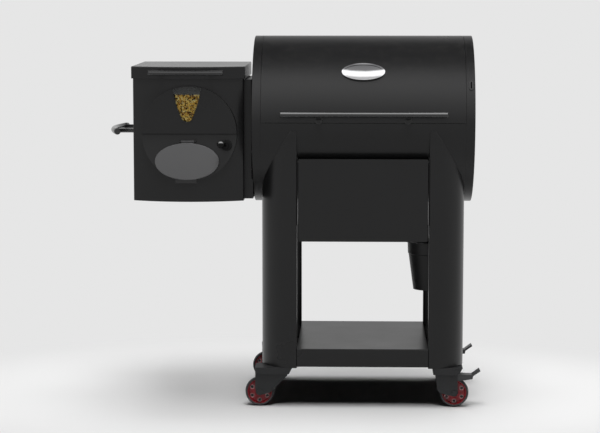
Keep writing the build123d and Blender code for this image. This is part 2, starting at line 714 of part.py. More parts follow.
def hopper_plan(inset, z, corner=0.0):
    """Plan of the hopper: straight sides and back, bowed front, drawn in by an inset."""
    left = hopper_left + inset
    right = hopper_right - inset
    side_y = hopper_side_y + inset
    with BuildSketch(Plane.XY.offset(z)) as plan:
        with BuildLine():
            Line((left, hopper_back - inset), (right, hopper_back - inset))
            Line((right, hopper_back - inset), (right, side_y))
            ThreePointArc((right, side_y), (hopper_mid, side_y - hopper_bow), (left, side_y))
            Line((left, side_y), (left, hopper_back - inset))
        make_face()
        if corner:
            fillet(plan.vertices(), corner)
    return plan.sketch


def window_prism(grow, y0, y1, mode=Mode.ADD):
    """Tapered window with an arched top, bowed sides and a round foot, grown by a margin, along Y."""
    half_top = 47.8 + grow
    arch = window_arch + grow
    left, right = window_x - half_top, window_x + half_top
    left_z, right_z = (fascia_z + math.sqrt(arch ** 2 - (x - fascia_x) ** 2) for x in (left, right))
    half_waist = 36.5 + grow
    half_foot = 16.5 + grow
    foot_z = window_low + 8.5
    with BuildSketch(Plane.XZ.offset(-y0)) as outline:
        with BuildLine():
            ThreePointArc((left, left_z), (fascia_x, fascia_z + arch), (right, right_z))
            ThreePointArc((right, right_z), (window_x + half_waist, 1044), (window_x + half_foot, foot_z))
            ThreePointArc((window_x + half_foot, foot_z), (window_x, window_low - grow),
                          (window_x - half_foot, foot_z))
            ThreePointArc((window_x - half_foot, foot_z), (window_x - half_waist, 1044), (left, left_z))
        make_face()
    extrude(outline.sketch, amount=y0 - y1, mode=mode)


with BuildPart() as hopper_housing:
    extrude(hopper_plan(0, hopper_low, 5), amount=hopper_high - hopper_low)
    extrude(hopper_plan(hopper_skin, hopper_low + hopper_skin, 3), amount=hopper_high, mode=Mode.SUBTRACT)
    rod_y(fascia_x, -320, -100, fascia_z, fascia_radius, Mode.SUBTRACT)
    block(hopper_right, -barrel_half, neck_front, neck_back, neck_low, neck_high)
    block(hopper_right, -barrel_half - 2, neck_front + 2, neck_back - 2, neck_low + 2, neck_high - 2, Mode.SUBTRACT)
    rod_x(-barrel_half - 5, -barrel_half + 5, 0, barrel_z, 280, Mode.SUBTRACT)
    rod_x(hopper_right - 5, hopper_right + 5, 0, feed_z, tube_radius, Mode.SUBTRACT)
    rod_x(hopper_right - 5, hopper_right + 5, flame_rod_y, rod_height(hopper_right), 12, Mode.SUBTRACT)
    block(hopper_right - 5, hopper_right + 5, duct_y - 18, duct_y + 18, duct_z - 12, duct_z + 12, Mode.SUBTRACT)
    for y in grip_arm_ys:
        rod_x(hopper_left - 5, hopper_left + 5, y, grip_z, 4, Mode.SUBTRACT)
    for number in range(7):
        block(-690 + 30 * number, -676 + 30 * number, -120, 20, hopper_low - 5, hopper_low + 5, Mode.SUBTRACT)
    block(inlet_x - 24, inlet_x + 24, hopper_back - 10, hopper_back + 10, inlet_z - 14, inlet_z + 14, Mode.SUBTRACT)
finish(hopper_housing, "hopper_housing")

panel_slope = math.atan(panel_setback / fascia_radius)
fascia_low = fascia_z - fascia_radius
step_y = fascia_y + panel_setback
panel_y = fascia_y + panel_setback * (cover_z - fascia_low) / fascia_radius
panel_plane = Plane(
    origin=(cover_x, panel_y, cover_z), x_dir=(1, 0, 0),
    z_dir=(0, -math.cos(panel_slope), math.sin(panel_slope)))
cover_pivot = (68.0, 7.0)
hinge_eye = 3.6
cover_pin = 1.6
hinge_x = 2.0
hinge_half = 28.0
hinge_gap = 22.5


def across_panel(x, y, z):
    """Plane across X at a place on the panel, for pins and eyes that run along X."""
    return Plane(origin=panel_plane.from_local_coords((x, y, z)), x_dir=panel_plane.y_dir, z_dir=(1, 0, 0))


with BuildPart() as control_fascia:
    rod_y(fascia_x, fascia_y, -236, fascia_z, fascia_radius)
    prism_x([(fascia_y - 9, fascia_z), (step_y, fascia_z), (fascia_y, fascia_low), (fascia_y - 9, fascia_low)],
            fascia_x - 200, fascia_x + 200, Mode.SUBTRACT)
    with BuildPart(mode=Mode.PRIVATE) as hollow:
        rod_y(fascia_x, fascia_y - 5, -200, fascia_z, fascia_radius - 2.5)
        prism_x(
            [(fascia_y + 2.5, fascia_z + 200), (-190, fascia_z + 200), (-190, fascia_low - 10),
             (fascia_y + 1.4, fascia_low - 10), (step_y + 2.5, fascia_z), (step_y + 2.5, fascia_z + 2.5),
             (fascia_y + 2.5, fascia_z + 2.5)],
            fascia_x - 200, fascia_x + 200, Mode.INTERSECT)
    add(hollow.part, mode=Mode.SUBTRACT)
    extrude(hopper_plan(14, fascia_z + 4), amount=fascia_radius, mode=Mode.SUBTRACT)
    window_prism(frame_margin, fascia_y - 2, -252)
    window_prism(0, fascia_y - 5, -250, Mode.SUBTRACT)
    with BuildSketch(panel_plane) as module_hole:
        Ellipse(98, 50)
    extrude(module_hole.sketch, amount=10, both=True, mode=Mode.SUBTRACT)
    rod_y(lever_x, -320, -200, lever_z, 9, Mode.SUBTRACT)
    with BuildSketch(panel_plane.offset(-1)) as foot:
        with Locations((hinge_x, cover_pivot[0] + 4)):
            Rectangle(2 * hinge_half, 9)
    extrude(foot.sketch, amount=3.9)
    for start in (hinge_x - hinge_half, hinge_x + hinge_gap):
        length = hinge_half - hinge_gap
        with BuildSketch(across_panel(start, *cover_pivot)) as eye:
            Circle(hinge_eye)
        extrude(eye.sketch, amount=length)
        with BuildSketch(panel_plane) as cheek:
            with Locations((start + length / 2, cover_pivot[0] + 2.5)):
                Rectangle(length, 5)
        extrude(cheek.sketch, amount=cover_pivot[1])
    with BuildSketch(across_panel(hinge_x - hinge_half, *cover_pivot)) as pin:
        Circle(cover_pin)
    extrude(pin.sketch, amount=2 * hinge_half)
finish(control_fascia, "control_fascia")

with BuildPart() as window_glass:
    window_prism(0, -290.5, -287.5)
finish(window_glass, "window_glass")

bin_gap = 20.0
bin_skin = 1.5
bin_bend = 1000.0
throat_z = feed_z + tube_radius - 1
bin_top = 1132.0


def bin_form(inset, bottom, top):
    """Straight bin above its bend and a funnel below it, down to the feed throat."""
    extrude(hopper_plan(bin_gap + inset, bin_bend), amount=top - bin_bend)
    with BuildSketch(Plane.XY.offset(bottom)) as mouth:
        with Locations((throat_x, 0)):
            Rectangle(2 * (throat_half_x - inset), 2 * (throat_half_y - inset))
    loft([hopper_plan(bin_gap + inset, bin_bend).face(), mouth.sketch.face()])


with BuildPart() as pellet_bin:
    bin_form(0, throat_z, bin_top)
    extrude(hopper_plan(hopper_skin, bin_top - 2, 3), amount=2)
    with BuildPart(mode=Mode.PRIVATE) as hollow:
        bin_form(bin_skin, throat_z, bin_top + 10)
        block(throat_x - throat_half_x + bin_skin, throat_x + throat_half_x - bin_skin, -throat_half_y + bin_skin,
              throat_half_y - bin_skin, throat_z - 10, throat_z + 1)
    add(hollow.part, mode=Mode.SUBTRACT)
    window_prism(frame_margin, -320, -200, Mode.SUBTRACT)
    rod_x(tube_left, tube_right, 0, feed_z, tube_radius, Mode.SUBTRACT)
finish(pellet_bin, "pellet_bin")

pellet_level = 1074.0
with BuildPart() as wood_pellets:
    bin_form(bin_skin + 1, throat_z + 12, pellet_level)
    window_prism(frame_margin + 0.4, -320, -251.5, Mode.SUBTRACT)
    with BuildPart(mode=Mode.PRIVATE) as behind_glass:
        window_prism(-0.5, -287, -240)
        block(-720, -480, -300, -200, 900, pellet_level, Mode.INTERSECT)
    add(behind_glass.part)
finish(wood_pellets, "wood_pellets")

module_depth = 12.0
with BuildPart() as control_board:
    with BuildSketch(panel_plane.offset(-module_depth - 2)) as tray:
        Ellipse(98, 50)
    extrude(tray.sketch, amount=module_depth + 2)
    with BuildSketch(panel_plane.offset(-module_depth)) as well:
        Ellipse(95, 47)
    extrude(well.sketch, amount=module_depth + 2, mode=Mode.SUBTRACT)
    with BuildSketch(panel_plane.offset(-module_depth - 1)) as screen:
        with Locations((-14, 8)):
            Rectangle(62, 34)
    extrude(screen.sketch, amount=2.5)
    with BuildSketch(panel_plane.offset(-module_depth - 3)) as holes:
        with Locations((54, 0)):
            Circle(5 + running)
        with Locations((-68, 0)):
            Circle(6.2)
    extrude(holes.sketch, amount=4, mode=Mode.SUBTRACT)
finish(control_board, "control_board")

with BuildPart() as temperature_dial:
    with BuildSketch(panel_plane.offset(-module_depth + 0.4)) as knob:
        with Locations((54, 0)):
            Circle(19)
            with PolarLocations(20, 12):
                Circle(2.2, mode=Mode.SUBTRACT)
    extrude(knob.sketch, amount=13)
    with BuildSketch(panel_plane.offset(-module_depth - 6)) as stem:
        with Locations((54, 0)):
            Circle(5)
    extrude(stem.sketch, amount=7)
    with BuildSketch(panel_plane.offset(-module_depth + 12)) as mark:
        with Locations((54, 12)):
            Rectangle(2, 10)
    extrude(mark.sketch, amount=3, mode=Mode.SUBTRACT)
finish(temperature_dial, "temperature_dial")

with BuildPart() as power_button:
    with BuildSketch(panel_plane.offset(-module_depth - 2.05)) as cap:
        with Locations((-68, 0)):
            Circle(6.12)
    extrude(cap.sketch, amount=6.5)
    with BuildSketch(panel_plane.offset(-module_depth - 4.05)) as foot:
        with Locations((-68, 0)):
            Circle(8)
    extrude(foot.sketch, amount=2)
finish(power_button, "power_button")

with BuildPart() as control_cover:
    with BuildSketch(panel_plane.offset(0.5)) as oval:
        Ellipse(109, 62.5)
    extrude(oval.sketch, amount=9.5)
    fillet(control_cover.edges().group_by(Axis(panel_plane.origin, panel_plane.z_dir))[-1], 2)
    with BuildSketch(panel_plane.offset(0.4)) as dish:
        Ellipse(106.5, 60)
    extrude(dish.sketch, amount=7.1, mode=Mode.SUBTRACT)
    with BuildSketch(panel_plane.offset(5)) as tabs:
        with Locations((-3, -67)):
            Rectangle(72, 14)
        with Locations((hinge_x, 63.5)):
            Rectangle(2 * hinge_gap - 1, 9)
    extrude(tabs.sketch, amount=2.6)
    with BuildSketch(across_panel(hinge_x - hinge_gap + 0.5, *cover_pivot)) as eye:
        Circle(hinge_eye)
    extrude(eye.sketch, amount=2 * hinge_gap - 1)
    with BuildSketch(across_panel(hinge_x - hinge_gap - 1, *cover_pivot)) as bore:
        Circle(cover_pin + running)
    extrude(bore.sketch, amount=2 * hinge_gap + 2, mode=Mode.SUBTRACT)
finish(control_cover, "control_cover")

bush_radius = 18.6
lever_shaft = 6.0
bush_place = panel_plane.from_local_coords(
    (lever_x - cover_x, (lever_z - cover_z) / math.cos(panel_slope), 0))
with BuildPart() as lever_bush:
    with BuildSketch(Plane(origin=bush_place, x_dir=(1, 0, 0), z_dir=panel_plane.z_dir)) as disc:
        Circle(bush_radius)
    extrude(disc.sketch, amount=6)
    fillet(lever_bush.edges().group_by(Axis(panel_plane.origin, panel_plane.z_dir))[-1], 3)
    rod_y(lever_x, -282, -262, lever_z, 9)
    rod_y(lever_x, -320, -200, lever_z, lever_shaft + running, Mode.SUBTRACT)
finish(lever_bush, "lever_bush")

ball_place = (-478.5, -333.0, 911.4)
ball_radius = 12.5
hub_y = -298.0
with BuildPart() as flame_lever:
    rod_y(lever_x, hub_y, crank_y - 10, lever_z, lever_shaft)
    rod_y(lever_x, hub_y - 12, hub_y, lever_z, 9)
    root = Vector(lever_x, hub_y - 6, lever_z)
    tip = Vector(*ball_place)
    with BuildSketch(Plane(origin=root, z_dir=tip - root)) as stem:
        Circle(4)
    extrude(stem.sketch, amount=(tip - root).length)
    prism_y(
        [(lever_x - 8, lever_z + 9), (lever_x + 8, lever_z + 9), (lever_x + 6, lever_z - crank_reach - 7),
         (lever_x - 6, lever_z - crank_reach - 7)],
        crank_y - 18, crank_y - 10)
    rod_y(lever_x, crank_y - 12, crank_y + 2, lever_z - crank_reach, crank_pin)
    with Locations(ball_place):
        Sphere(ball_radius)
finish(flame_lever, "flame_lever")

side_bar = waisted_bar((grip_x, grip_mid, grip_z), 137.5, 11.5, 9.8, "y")
with BuildPart() as side_handle:
    add(side_bar)
    for y in grip_arm_ys:
        rod_x(grip_x, hopper_left, y, grip_z, 6.3)
        rod_x(hopper_left - 3, hopper_left, y, grip_z, 13)
        rod_x(hopper_left - 1, hopper_left + 7, y, grip_z, 4)
finish(side_handle, "side_handle")

lid_clear = 3.0
lid_over = 5.5
hopper_hinge_y = 172.0
hopper_hinge_z = 1123.0
hopper_hinge_xs = (-700.0, -490.0)
hopper_knuckle = 6.5
hopper_pin = 3.0
with BuildPart() as hopper_lid:
    extrude(hopper_plan(-lid_over, hopper_lid_low, 6), amount=60)
    prism_x(
        [(-400, hopper_lid_front - 0.5), (hopper_back + 40, hopper_lid_rear), (hopper_back + 40, 1300),
         (-400, 1300)],
        hopper_left - 40, hopper_right + 40, Mode.SUBTRACT)
    fillet(hopper_lid.faces().sort_by(Axis.Z)[-1].edges(), 3)
    extrude(hopper_plan(-lid_clear, hopper_lid_low - 5, 4), amount=hopper_high + 0.5 - hopper_lid_low + 5,
            mode=Mode.SUBTRACT)
    for x in hopper_hinge_xs:
        block(x - 11.5, x + 11.5, hopper_back + lid_clear + 1, hopper_back + lid_over + 3, hopper_hinge_z, 1150)
        rod_x(x - 11.5, x + 11.5, hopper_hinge_y, hopper_hinge_z, hopper_knuckle)
        rod_x(x - 13, x + 13, hopper_hinge_y, hopper_hinge_z, hopper_pin + running, Mode.SUBTRACT)
finish(hopper_lid, "hopper_lid")

with BuildPart() as hopper_hinges:
    for x in hopper_hinge_xs:
        block(x - 30, x + 30, hopper_back, hopper_back + 3, 1075, 1112)
        for near, far in ((x - 30, x - 12), (x + 12, x + 30)):
            rod_x(near, far, hopper_hinge_y, hopper_hinge_z, hopper_knuckle)
            prism_x(
                [(hopper_back, 1111), (hopper_back, 1100), (hopper_back + 3, 1100),
                 (hopper_hinge_y + 4, hopper_hinge_z - 5), (hopper_hinge_y - 5, hopper_hinge_z + 3)], near, far)
        rod_x(x - 13, x + 13, hopper_hinge_y, hopper_hinge_z, hopper_pin)
finish(hopper_hinges, "hopper_hinges")

hopper_bar_y = -331.0
hopper_bar_z = 1150.0
hopper_post = 84.0
hopper_bar = waisted_bar((hopper_mid, hopper_bar_y, hopper_bar_z), 126.0, 8.8, 7.2, "x")
with BuildPart() as hopper_lid_handle:
    add(hopper_bar)
    for x in (hopper_mid - hopper_post, hopper_mid + hopper_post):
        rod_y(x, hopper_bar_y, -270, hopper_bar_z, 5.5)
        rod_y(x, -292, -270, hopper_bar_z, 9)
    extrude(hopper_plan(-lid_over, 1100, 6), amount=100, mode=Mode.SUBTRACT)
finish(hopper_lid_handle, "hopper_lid_handle")

with BuildPart() as power_inlet:
    block(inlet_x - 24, inlet_x + 24, hopper_back - 26, hopper_back, inlet_z - 14, inlet_z + 14)
    block(inlet_x - 28, inlet_x + 28, hopper_back, hopper_back + 2.5, inlet_z - 18, inlet_z + 18)
    fillet(power_inlet.edges().filter_by(Axis.Y), 2)
    block(inlet_x - 13, inlet_x + 13, hopper_back - 18, hopper_back + 5, inlet_z - 10, inlet_z + 10, Mode.SUBTRACT)
    for x, z in ((-6, -3), (6, -3), (0, 4)):
        block(inlet_x + x - 2, inlet_x + x + 2, hopper_back - 20, hopper_back - 2, inlet_z + z - 1, inlet_z + z + 1)
finish(power_inlet, "power_inlet")

# ---- Casters ------------------------------------------------------------------------------

crown_top = 115.6
bracket_low = 116.0
bracket_half = 42.0
bracket_foot_left = -252.0
bracket_foot_right = 243.0
bracket_y = 45.0
fork_gap = 19.0
fork_skin = 3.0
fork_half = 31.0
fork_spread = 68.0
fork_half_right = 34.6
fork_spread_right = 36.5
king_radius = 6.0
axle_radius = 6.0
tyre_inner = 42.0
hub_rim = 39.0
pocket_ring = 30.0
pedal_reach = 30.0
pedal_z = 107.0
pedal_pin = 3.0
corners = {
    "front_left": (swivel_left, -caster_y, -1),
    "front_right": (swivel_right, -caster_y, 1),
    "rear_left": (swivel_left, caster_y, -1),
    "rear_right": (swivel_right, caster_y, 1),
}

with BuildPart() as caster_brackets:
    for x, y, out in corners.values():
        outer = -369.0 if out < 0 else 344.0
        inner = out * 240.0
        with BuildSketch(Plane.XY.offset(leg_bottom)) as top:
            with Locations(((outer + inner) / 2, y)):
                RectangleRounded(abs(outer - inner), 2 * bracket_y, 8)
        with BuildSketch(Plane.XY.offset(bracket_low)) as low:
            near_foot = bracket_foot_left if out < 0 else bracket_foot_right
            far_foot = x + out * bracket_half
            with Locations(((near_foot + far_foot) / 2, y)):
                RectangleRounded(abs(far_foot - near_foot), 2 * bracket_half, 8)
        loft([top.sketch.face(), low.sketch.face()])
        rod_z(x, y, bracket_low - 2, bracket_low + 16, king_radius + running, Mode.SUBTRACT)
finish(caster_brackets, "caster_brackets")


def fork(x, y, out, braked):
    """Swivel fork with its king pin, and its axle (and brake pin) as a second piece."""
    axle_x = x + out * caster_trail
    if out < 0:
        middle, half = x - 12, fork_half
        left, right = middle - half, x + fork_spread
        crown_end = right - 4
    else:
        middle, half = x + 4.4, fork_half_right
        left, right = x - fork_spread_right, middle + half
        crown_end = x + 22
    reach = fork_gap + fork_skin
    with BuildPart() as body:
        block(left + 4, crown_end, y - reach, y + reach, crown_top - 8, crown_top - 3)
        rod_z(x, y, crown_top - 4, crown_top, 24)
        rod_z(x, y, crown_top - 1, crown_top + 15, king_radius)
        for near, far in ((y - reach, y - fork_gap), (y + fork_gap, y + reach)):
            with BuildSketch(Plane.XZ.offset(-near)) as plate:
                with Locations((axle_x, wheel_radius)):
                    Circle(12)
                with Locations((middle, 64)):
                    Ellipse(half, 19)
                with Locations(((left + right) / 2, crown_top - 5)):
                    Rectangle(right - left, 4)
                make_hull()
            extrude(plate.sketch, amount=near - far)
        rod_y(axle_x, y - 30, y + 30, wheel_radius, axle_radius, Mode.SUBTRACT)
        if braked:
            rod_y(x + pedal_reach, y - 30, y + 30, pedal_z, pedal_pin, Mode.SUBTRACT)
    with BuildPart() as pins:
        rod_y(axle_x, y - reach, y + reach, wheel_radius, axle_radius)
        for near, far in ((y - reach - 4, y - reach), (y + reach, y + reach + 4)):
            rod_y(axle_x, near, far, wheel_radius, 9)
        if braked:
            rod_y(x + pedal_reach, y - reach, y + reach, pedal_z, pedal_pin)
            for near, far in ((y - reach - 2, y - reach), (y + reach, y + reach + 2)):
                rod_y(x + pedal_reach, near, far, pedal_z, 4.5)
    return body, pins


def wheel_plane(x, y):
    return Plane(origin=(x, y, wheel_radius), x_dir=(0, 1, 0), z_dir=(1, 0, 0))


def tyre(x, y):
    half = wheel_width / 2
    with BuildPart() as ring:
        with BuildSketch(wheel_plane(x, y)):
            with BuildLine():
                Polyline((-half + 2, wheel_radius - 3), (-half, tyre_inner + 4), (-half + 3, tyre_inner),
                         (half - 3, tyre_inner), (half, tyre_inner + 4), (half - 2, wheel_radius - 3))
                ThreePointArc((half - 2, wheel_radius - 3), (0, wheel_radius), (-half + 2, wheel_radius - 3))
            make_face()
        revolve(axis=Axis((x, y, wheel_radius), (0, 1, 0)))
    return ring


def wheel_hub(x, y):
    bore = axle_radius + running
    with BuildPart() as disc:
        with BuildSketch(wheel_plane(x, y)):
            with BuildLine():
                Polyline(
                    (-18.5, bore), (-18.5, 11), (-6, 15), (-5, 36), (-12, hub_rim), (-12, tyre_inner),
                    (12, tyre_inner), (12, hub_rim), (5, 36), (6, 15), (18.5, 11), (18.5, bore), close=True)
            make_face()
        revolve(axis=Axis((x, y, wheel_radius), (0, 1, 0)))
        for number in range(6):
            turn = math.radians(60 * number + 30)
            pocket_x, pocket_z = x + pocket_ring * math.cos(turn), wheel_radius + pocket_ring * math.sin(turn)
            for near, far in ((y - 15, y - 1.5), (y + 1.5, y + 15)):
                rod_y(pocket_x, near, far, pocket_z, 5, Mode.SUBTRACT)
    return disc


def brake_pedal(x, y):
    """Foot brake: two ears, a flat with an upturned toe tip, and a shoe above the tyre."""
    with BuildPart() as pedal:
        for near, far in ((y - 18.4, y - 15.4), (y + 15.4, y + 18.4)):
            prism_y(
                [(x - 6, pedal_z + 4), (x - 5, pedal_z - 6), (x + 14, pedal_z - 15.5), (x + 60.5, pedal_z - 8.5),
                 (x + 62.5, pedal_z + 1.5), (x + 60, pedal_z + 5), (x + 20, pedal_z + 8), (x - 2, pedal_z + 6)],
                near, far)
        prism_y(
            [(x + 9, pedal_z + 7.2), (x + 9, pedal_z + 4.5), (x + 62.5, pedal_z + 1.5), (x + 87.5, pedal_z + 19),
             (x + 83.5, pedal_z + 25), (x + 58, pedal_z + 6)],
            y - 18.4, y + 18.4)
        block(x + 12, x + 24, y - 12, y + 12, pedal_z - 7, pedal_z + 5)
        rod_y(x, y - 20, y + 20, pedal_z, pedal_pin + running, Mode.SUBTRACT)
    return pedal


for corner, (x, y, out) in corners.items():
    braked = out > 0
    finish_set(f"caster_fork_{corner}", *fork(x, y, out, braked))
    finish(tyre(x + out * caster_trail, y), f"tyre_{corner}")
    finish(wheel_hub(x + out * caster_trail, y), f"wheel_hub_{corner}")
    if braked:
        finish(brake_pedal(x + pedal_reach, y), f"brake_pedal_{corner}")
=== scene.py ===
import json
import math
import random

import bpy
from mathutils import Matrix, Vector


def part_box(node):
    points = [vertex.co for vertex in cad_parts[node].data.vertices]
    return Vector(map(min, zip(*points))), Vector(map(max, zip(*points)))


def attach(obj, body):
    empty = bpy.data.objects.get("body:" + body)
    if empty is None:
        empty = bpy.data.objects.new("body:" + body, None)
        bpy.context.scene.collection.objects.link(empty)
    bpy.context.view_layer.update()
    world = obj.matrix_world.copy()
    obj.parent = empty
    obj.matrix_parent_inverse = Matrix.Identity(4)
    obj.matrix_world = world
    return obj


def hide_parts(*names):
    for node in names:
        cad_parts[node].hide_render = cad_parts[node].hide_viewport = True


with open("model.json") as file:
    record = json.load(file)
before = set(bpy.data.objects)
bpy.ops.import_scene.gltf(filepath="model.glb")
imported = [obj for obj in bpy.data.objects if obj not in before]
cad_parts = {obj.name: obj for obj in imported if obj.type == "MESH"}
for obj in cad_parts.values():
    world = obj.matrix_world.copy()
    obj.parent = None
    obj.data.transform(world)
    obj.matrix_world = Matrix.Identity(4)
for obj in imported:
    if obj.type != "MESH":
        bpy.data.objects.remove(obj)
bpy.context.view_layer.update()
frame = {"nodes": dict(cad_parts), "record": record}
nodes = frame["nodes"]
scene = bpy.context.scene
scene.view_settings.view_transform = "Standard"
print("frame loaded:", len(nodes), "nodes")


# camera: a long lens a little above the lid, aimed slightly left of the barrel
cameraSettings = {
    "lens": 114.64,
    "sensorWidth": 36.0,
    "farthest": 100.0,
    "place": (-0.0145, -6.7334, 1.3913),
    "tiltDown": 6.45,  # degrees
    "turnLeft": 1.77,
}
cameraData = bpy.data.cameras.new("grillCamera")
cameraData.lens = cameraSettings["lens"]
cameraData.sensor_width = cameraSettings["sensorWidth"]
cameraData.clip_end = cameraSettings["farthest"]
camera = bpy.data.objects.new("grillCamera", cameraData)
camera.location = cameraSettings["place"]
camera.rotation_euler = (
    math.radians(90 - cameraSettings["tiltDown"]), 0, math.radians(cameraSettings["turnLeft"]))
scene.collection.objects.link(camera)
scene.camera = camera
print("camera placed")


class Wire:
    # one output socket, used like a number in shader maths
    def __init__(self, finish, socket):
        self.finish = finish
        self.socket = socket

    def math(self, operation, first, second=0.0):
        return self.finish.math(operation, first, second)

    def __add__(self, other):
        return self.math("ADD", self, other)

    def __radd__(self, other):
        return self.math("ADD", other, self)

    def __sub__(self, other):
        return self.math("SUBTRACT", self, other)

    def __rsub__(self, other):
        return self.math("SUBTRACT", other, self)

    def __mul__(self, other):
        return self.math("MULTIPLY", self, other)

    def __rmul__(self, other):
        return self.math("MULTIPLY", other, self)

    def __truediv__(self, other):
        return self.math("DIVIDE", self, other)

    def __pow__(self, other):
        return self.math("POWER", self, other)

    def __abs__(self):
        return self.math("ABSOLUTE", self)

    def greatest(self, other):
        return self.math("MAXIMUM", self, other)

    def least(self, other):
        return self.math("MINIMUM", self, other)

    def root(self):
        return self.math("SQRT", self)

    def ramp(self, low, high, start=0.0, end=1.0):
        # smooth step from start at low to end at high
        return self.finish.node(
            "ShaderNodeMapRange", {"interpolation_type": "SMOOTHSTEP"},
            {"Value": self, "From Min": low, "From Max": high, "To Min": start, "To Max": end})


class Finish:
    # a material, or the world, and the nodes in it
    def __init__(self, name, owner=None):
        self.owner = owner or bpy.data.materials.new(name)
        self.owner.use_nodes = True
        self.tree = self.owner.node_tree
        self.tree.nodes.clear()

    def node(self, kind, settings=None, sockets=None, out=0):
        made = self.tree.nodes.new(kind)
        for key, value in (settings or {}).items():
            if key == "stops":
                self.fillRamp(made.color_ramp, value)
            else:
                setattr(made, key, value)
        for key, value in (sockets or {}).items():
            if isinstance(value, Wire):
                self.tree.links.new(value.socket, made.inputs[key])
            else:
                made.inputs[key].default_value = value
        return Wire(self, made.outputs[out]) if len(made.outputs) else None

    def fillRamp(self, ramp, stops):
        while len(ramp.elements) > 1:
            ramp.elements.remove(ramp.elements[-1])
        for number, (place, color) in enumerate(stops):
            element = ramp.elements[0] if number == 0 else ramp.elements.new(place)
            element.position = place
            element.color = (*color, 1)

    def math(self, operation, first, second=0.0):
        return self.node("ShaderNodeMath", {"operation": operation}, {0: first, 1: second})

    def place(self, stretch=(1, 1, 1), shift=(0, 0, 0)):
        spot = self.node("ShaderNodeTexCoord", out="Object")
        return self.node("ShaderNodeMapping", None,
                         {"Vector": spot, "Location": shift, "Scale": stretch})

    def axes(self, kind="Object"):
        # the x, y and z of one kind of texture coordinates
        spot = self.node("ShaderNodeTexCoord", out=kind)
        split = self.node("ShaderNodeSeparateXYZ", None, {"Vector": spot})
        return [Wire(self, socket) for socket in split.socket.node.outputs]

    def noise(self, scale, detail=3.0, roughness=0.5, stretch=(1, 1, 1), shift=(0, 0, 0)):
        return self.node("ShaderNodeTexNoise", None, {
            "Vector": self.place(stretch, shift), "Scale": scale, "Detail": detail,
            "Roughness": roughness})

    def cells(self, scale):
        # the distance from each cell's middle
        return self.node("ShaderNodeTexVoronoi", {"feature": "F1"},
                         {"Vector": self.place(), "Scale": scale}, "Distance")

    def blend(self, amount, low, high, kind="MIX"):
        pair = [(*value, 1) if isinstance(value, tuple) else value for value in (low, high)]
        return self.node("ShaderNodeMix", {"data_type": "RGBA", "blend_type": kind},
                         {0: amount, 6: pair[0], 7: pair[1]}, 2)

    def edge(self, radius):
        # rounded shading along folded and cut edges
        return self.node("ShaderNodeBevel", {"samples": 4}, {"Radius": radius})

    def bump(self, height, strength, distance, normal=None):
        sockets = {"Height": height, "Strength": strength, "Distance": distance}
        if normal:
            sockets["Normal"] = normal
        return self.node("ShaderNodeBump", None, sockets)

    def upward(self):
        # 1 on surfaces that face up at rest, 0 on the rest
        return self.axes("Normal")[2].ramp(0.35, 0.95)

    def surface(self, sockets):
        shader = self.node("ShaderNodeBsdfPrincipled", None, sockets)
        self.node("ShaderNodeOutputMaterial", None, {"Surface": shader})
        return self.owner


# the texture that every painted piece shares
coatTexture = {
    "mottleScale": 9.0,
    "mottleShare": 0.35,
    "speckScale": 1700.0,
    "speckShare": 0.65,
    "rubScale": 2.3,
    "rubPlaces": (0.52, 0.72),
    "dustScale": 38.0,
    "dustPlaces": (0.42, 0.7),
    "dustColor": (0.11, 0.105, 0.1),
    "depth": 0.0004,
}


def powderCoat(name, look):
    made = Finish(name)
    look = {**coatTexture, **look}
    mottle = made.noise(look["mottleScale"], 4.0)
    rub = made.noise(look["rubScale"], 5.0, 0.6, shift=(3, 1, 7)).ramp(*look["rubPlaces"])
    peel = made.noise(look["peelScale"], 2.0)
    speck = made.noise(look["speckScale"], 1.0)
    lying = made.noise(look["dustScale"], 6.0, 0.65).ramp(*look["dustPlaces"])
    dust = made.upward() * lying * look["dust"]
    tone = mottle * look["mottleShare"] + speck * look["speckShare"]
    color = made.blend(tone, look["dark"], look["light"])
    color = made.blend(dust, color, look["dustColor"])
    roughness = look["roughness"] + (mottle - 0.5) * 0.05 - rub * 0.02 + dust * 0.2
    normal = made.bump(peel, look["peel"], look["depth"], made.edge(look["edge"]))
    return made.surface({"Base Color": color, "Roughness": roughness, "Normal": normal,
                         "Specular IOR Level": look["shine"]})


def polished(name, look):
    # smooth bare metal: chrome, zinc plate or stainless wire
    made = Finish(name)
    haze = made.noise(look["hazeScale"], 5.0, 0.6)
    hairs = made.noise(look["hairScale"], 3.0, 0.6, look["hairStretch"])
    color = made.blend(haze.ramp(0.35, 0.75), look["dark"], look["light"])
    roughness = look["roughness"] + haze * 0.1 + hairs * look["hairRoughness"]
    normal = made.bump(hairs, look["hairBump"], 0.00015, made.edge(look["edge"]))
    return made.surface({"Base Color": color, "Roughness": roughness, "Metallic": 1.0,
                         "Normal": normal})


def spangledSteel(name, look):
    made = Finish(name)
    # one grey to each cell
    spangle = made.node("ShaderNodeTexVoronoi", {"feature": "F1"},
                        {"Vector": made.place(), "Scale": look["spangleScale"]}, "Color")
    tone = made.node("ShaderNodeSeparateXYZ", None, {"Vector": spangle})
    stain = made.noise(look["stainScale"], 6.0, 0.6).ramp(0.4, 0.75) * look["stain"]
    color = made.blend(tone, look["dark"], look["light"])
    color = made.blend(stain, color, look["stainColor"])
    roughness = look["roughness"] + tone * 0.12 + stain * 0.25
    grain = made.noise(look["grainScale"], 3.0)
    normal = made.bump(grain, look["grain"], 0.0003, made.edge(look["edge"]))
    return made.surface({"Base Color": color, "Roughness": roughness,
                         "Metallic": 1.0 - stain * 0.6, "Normal": normal})


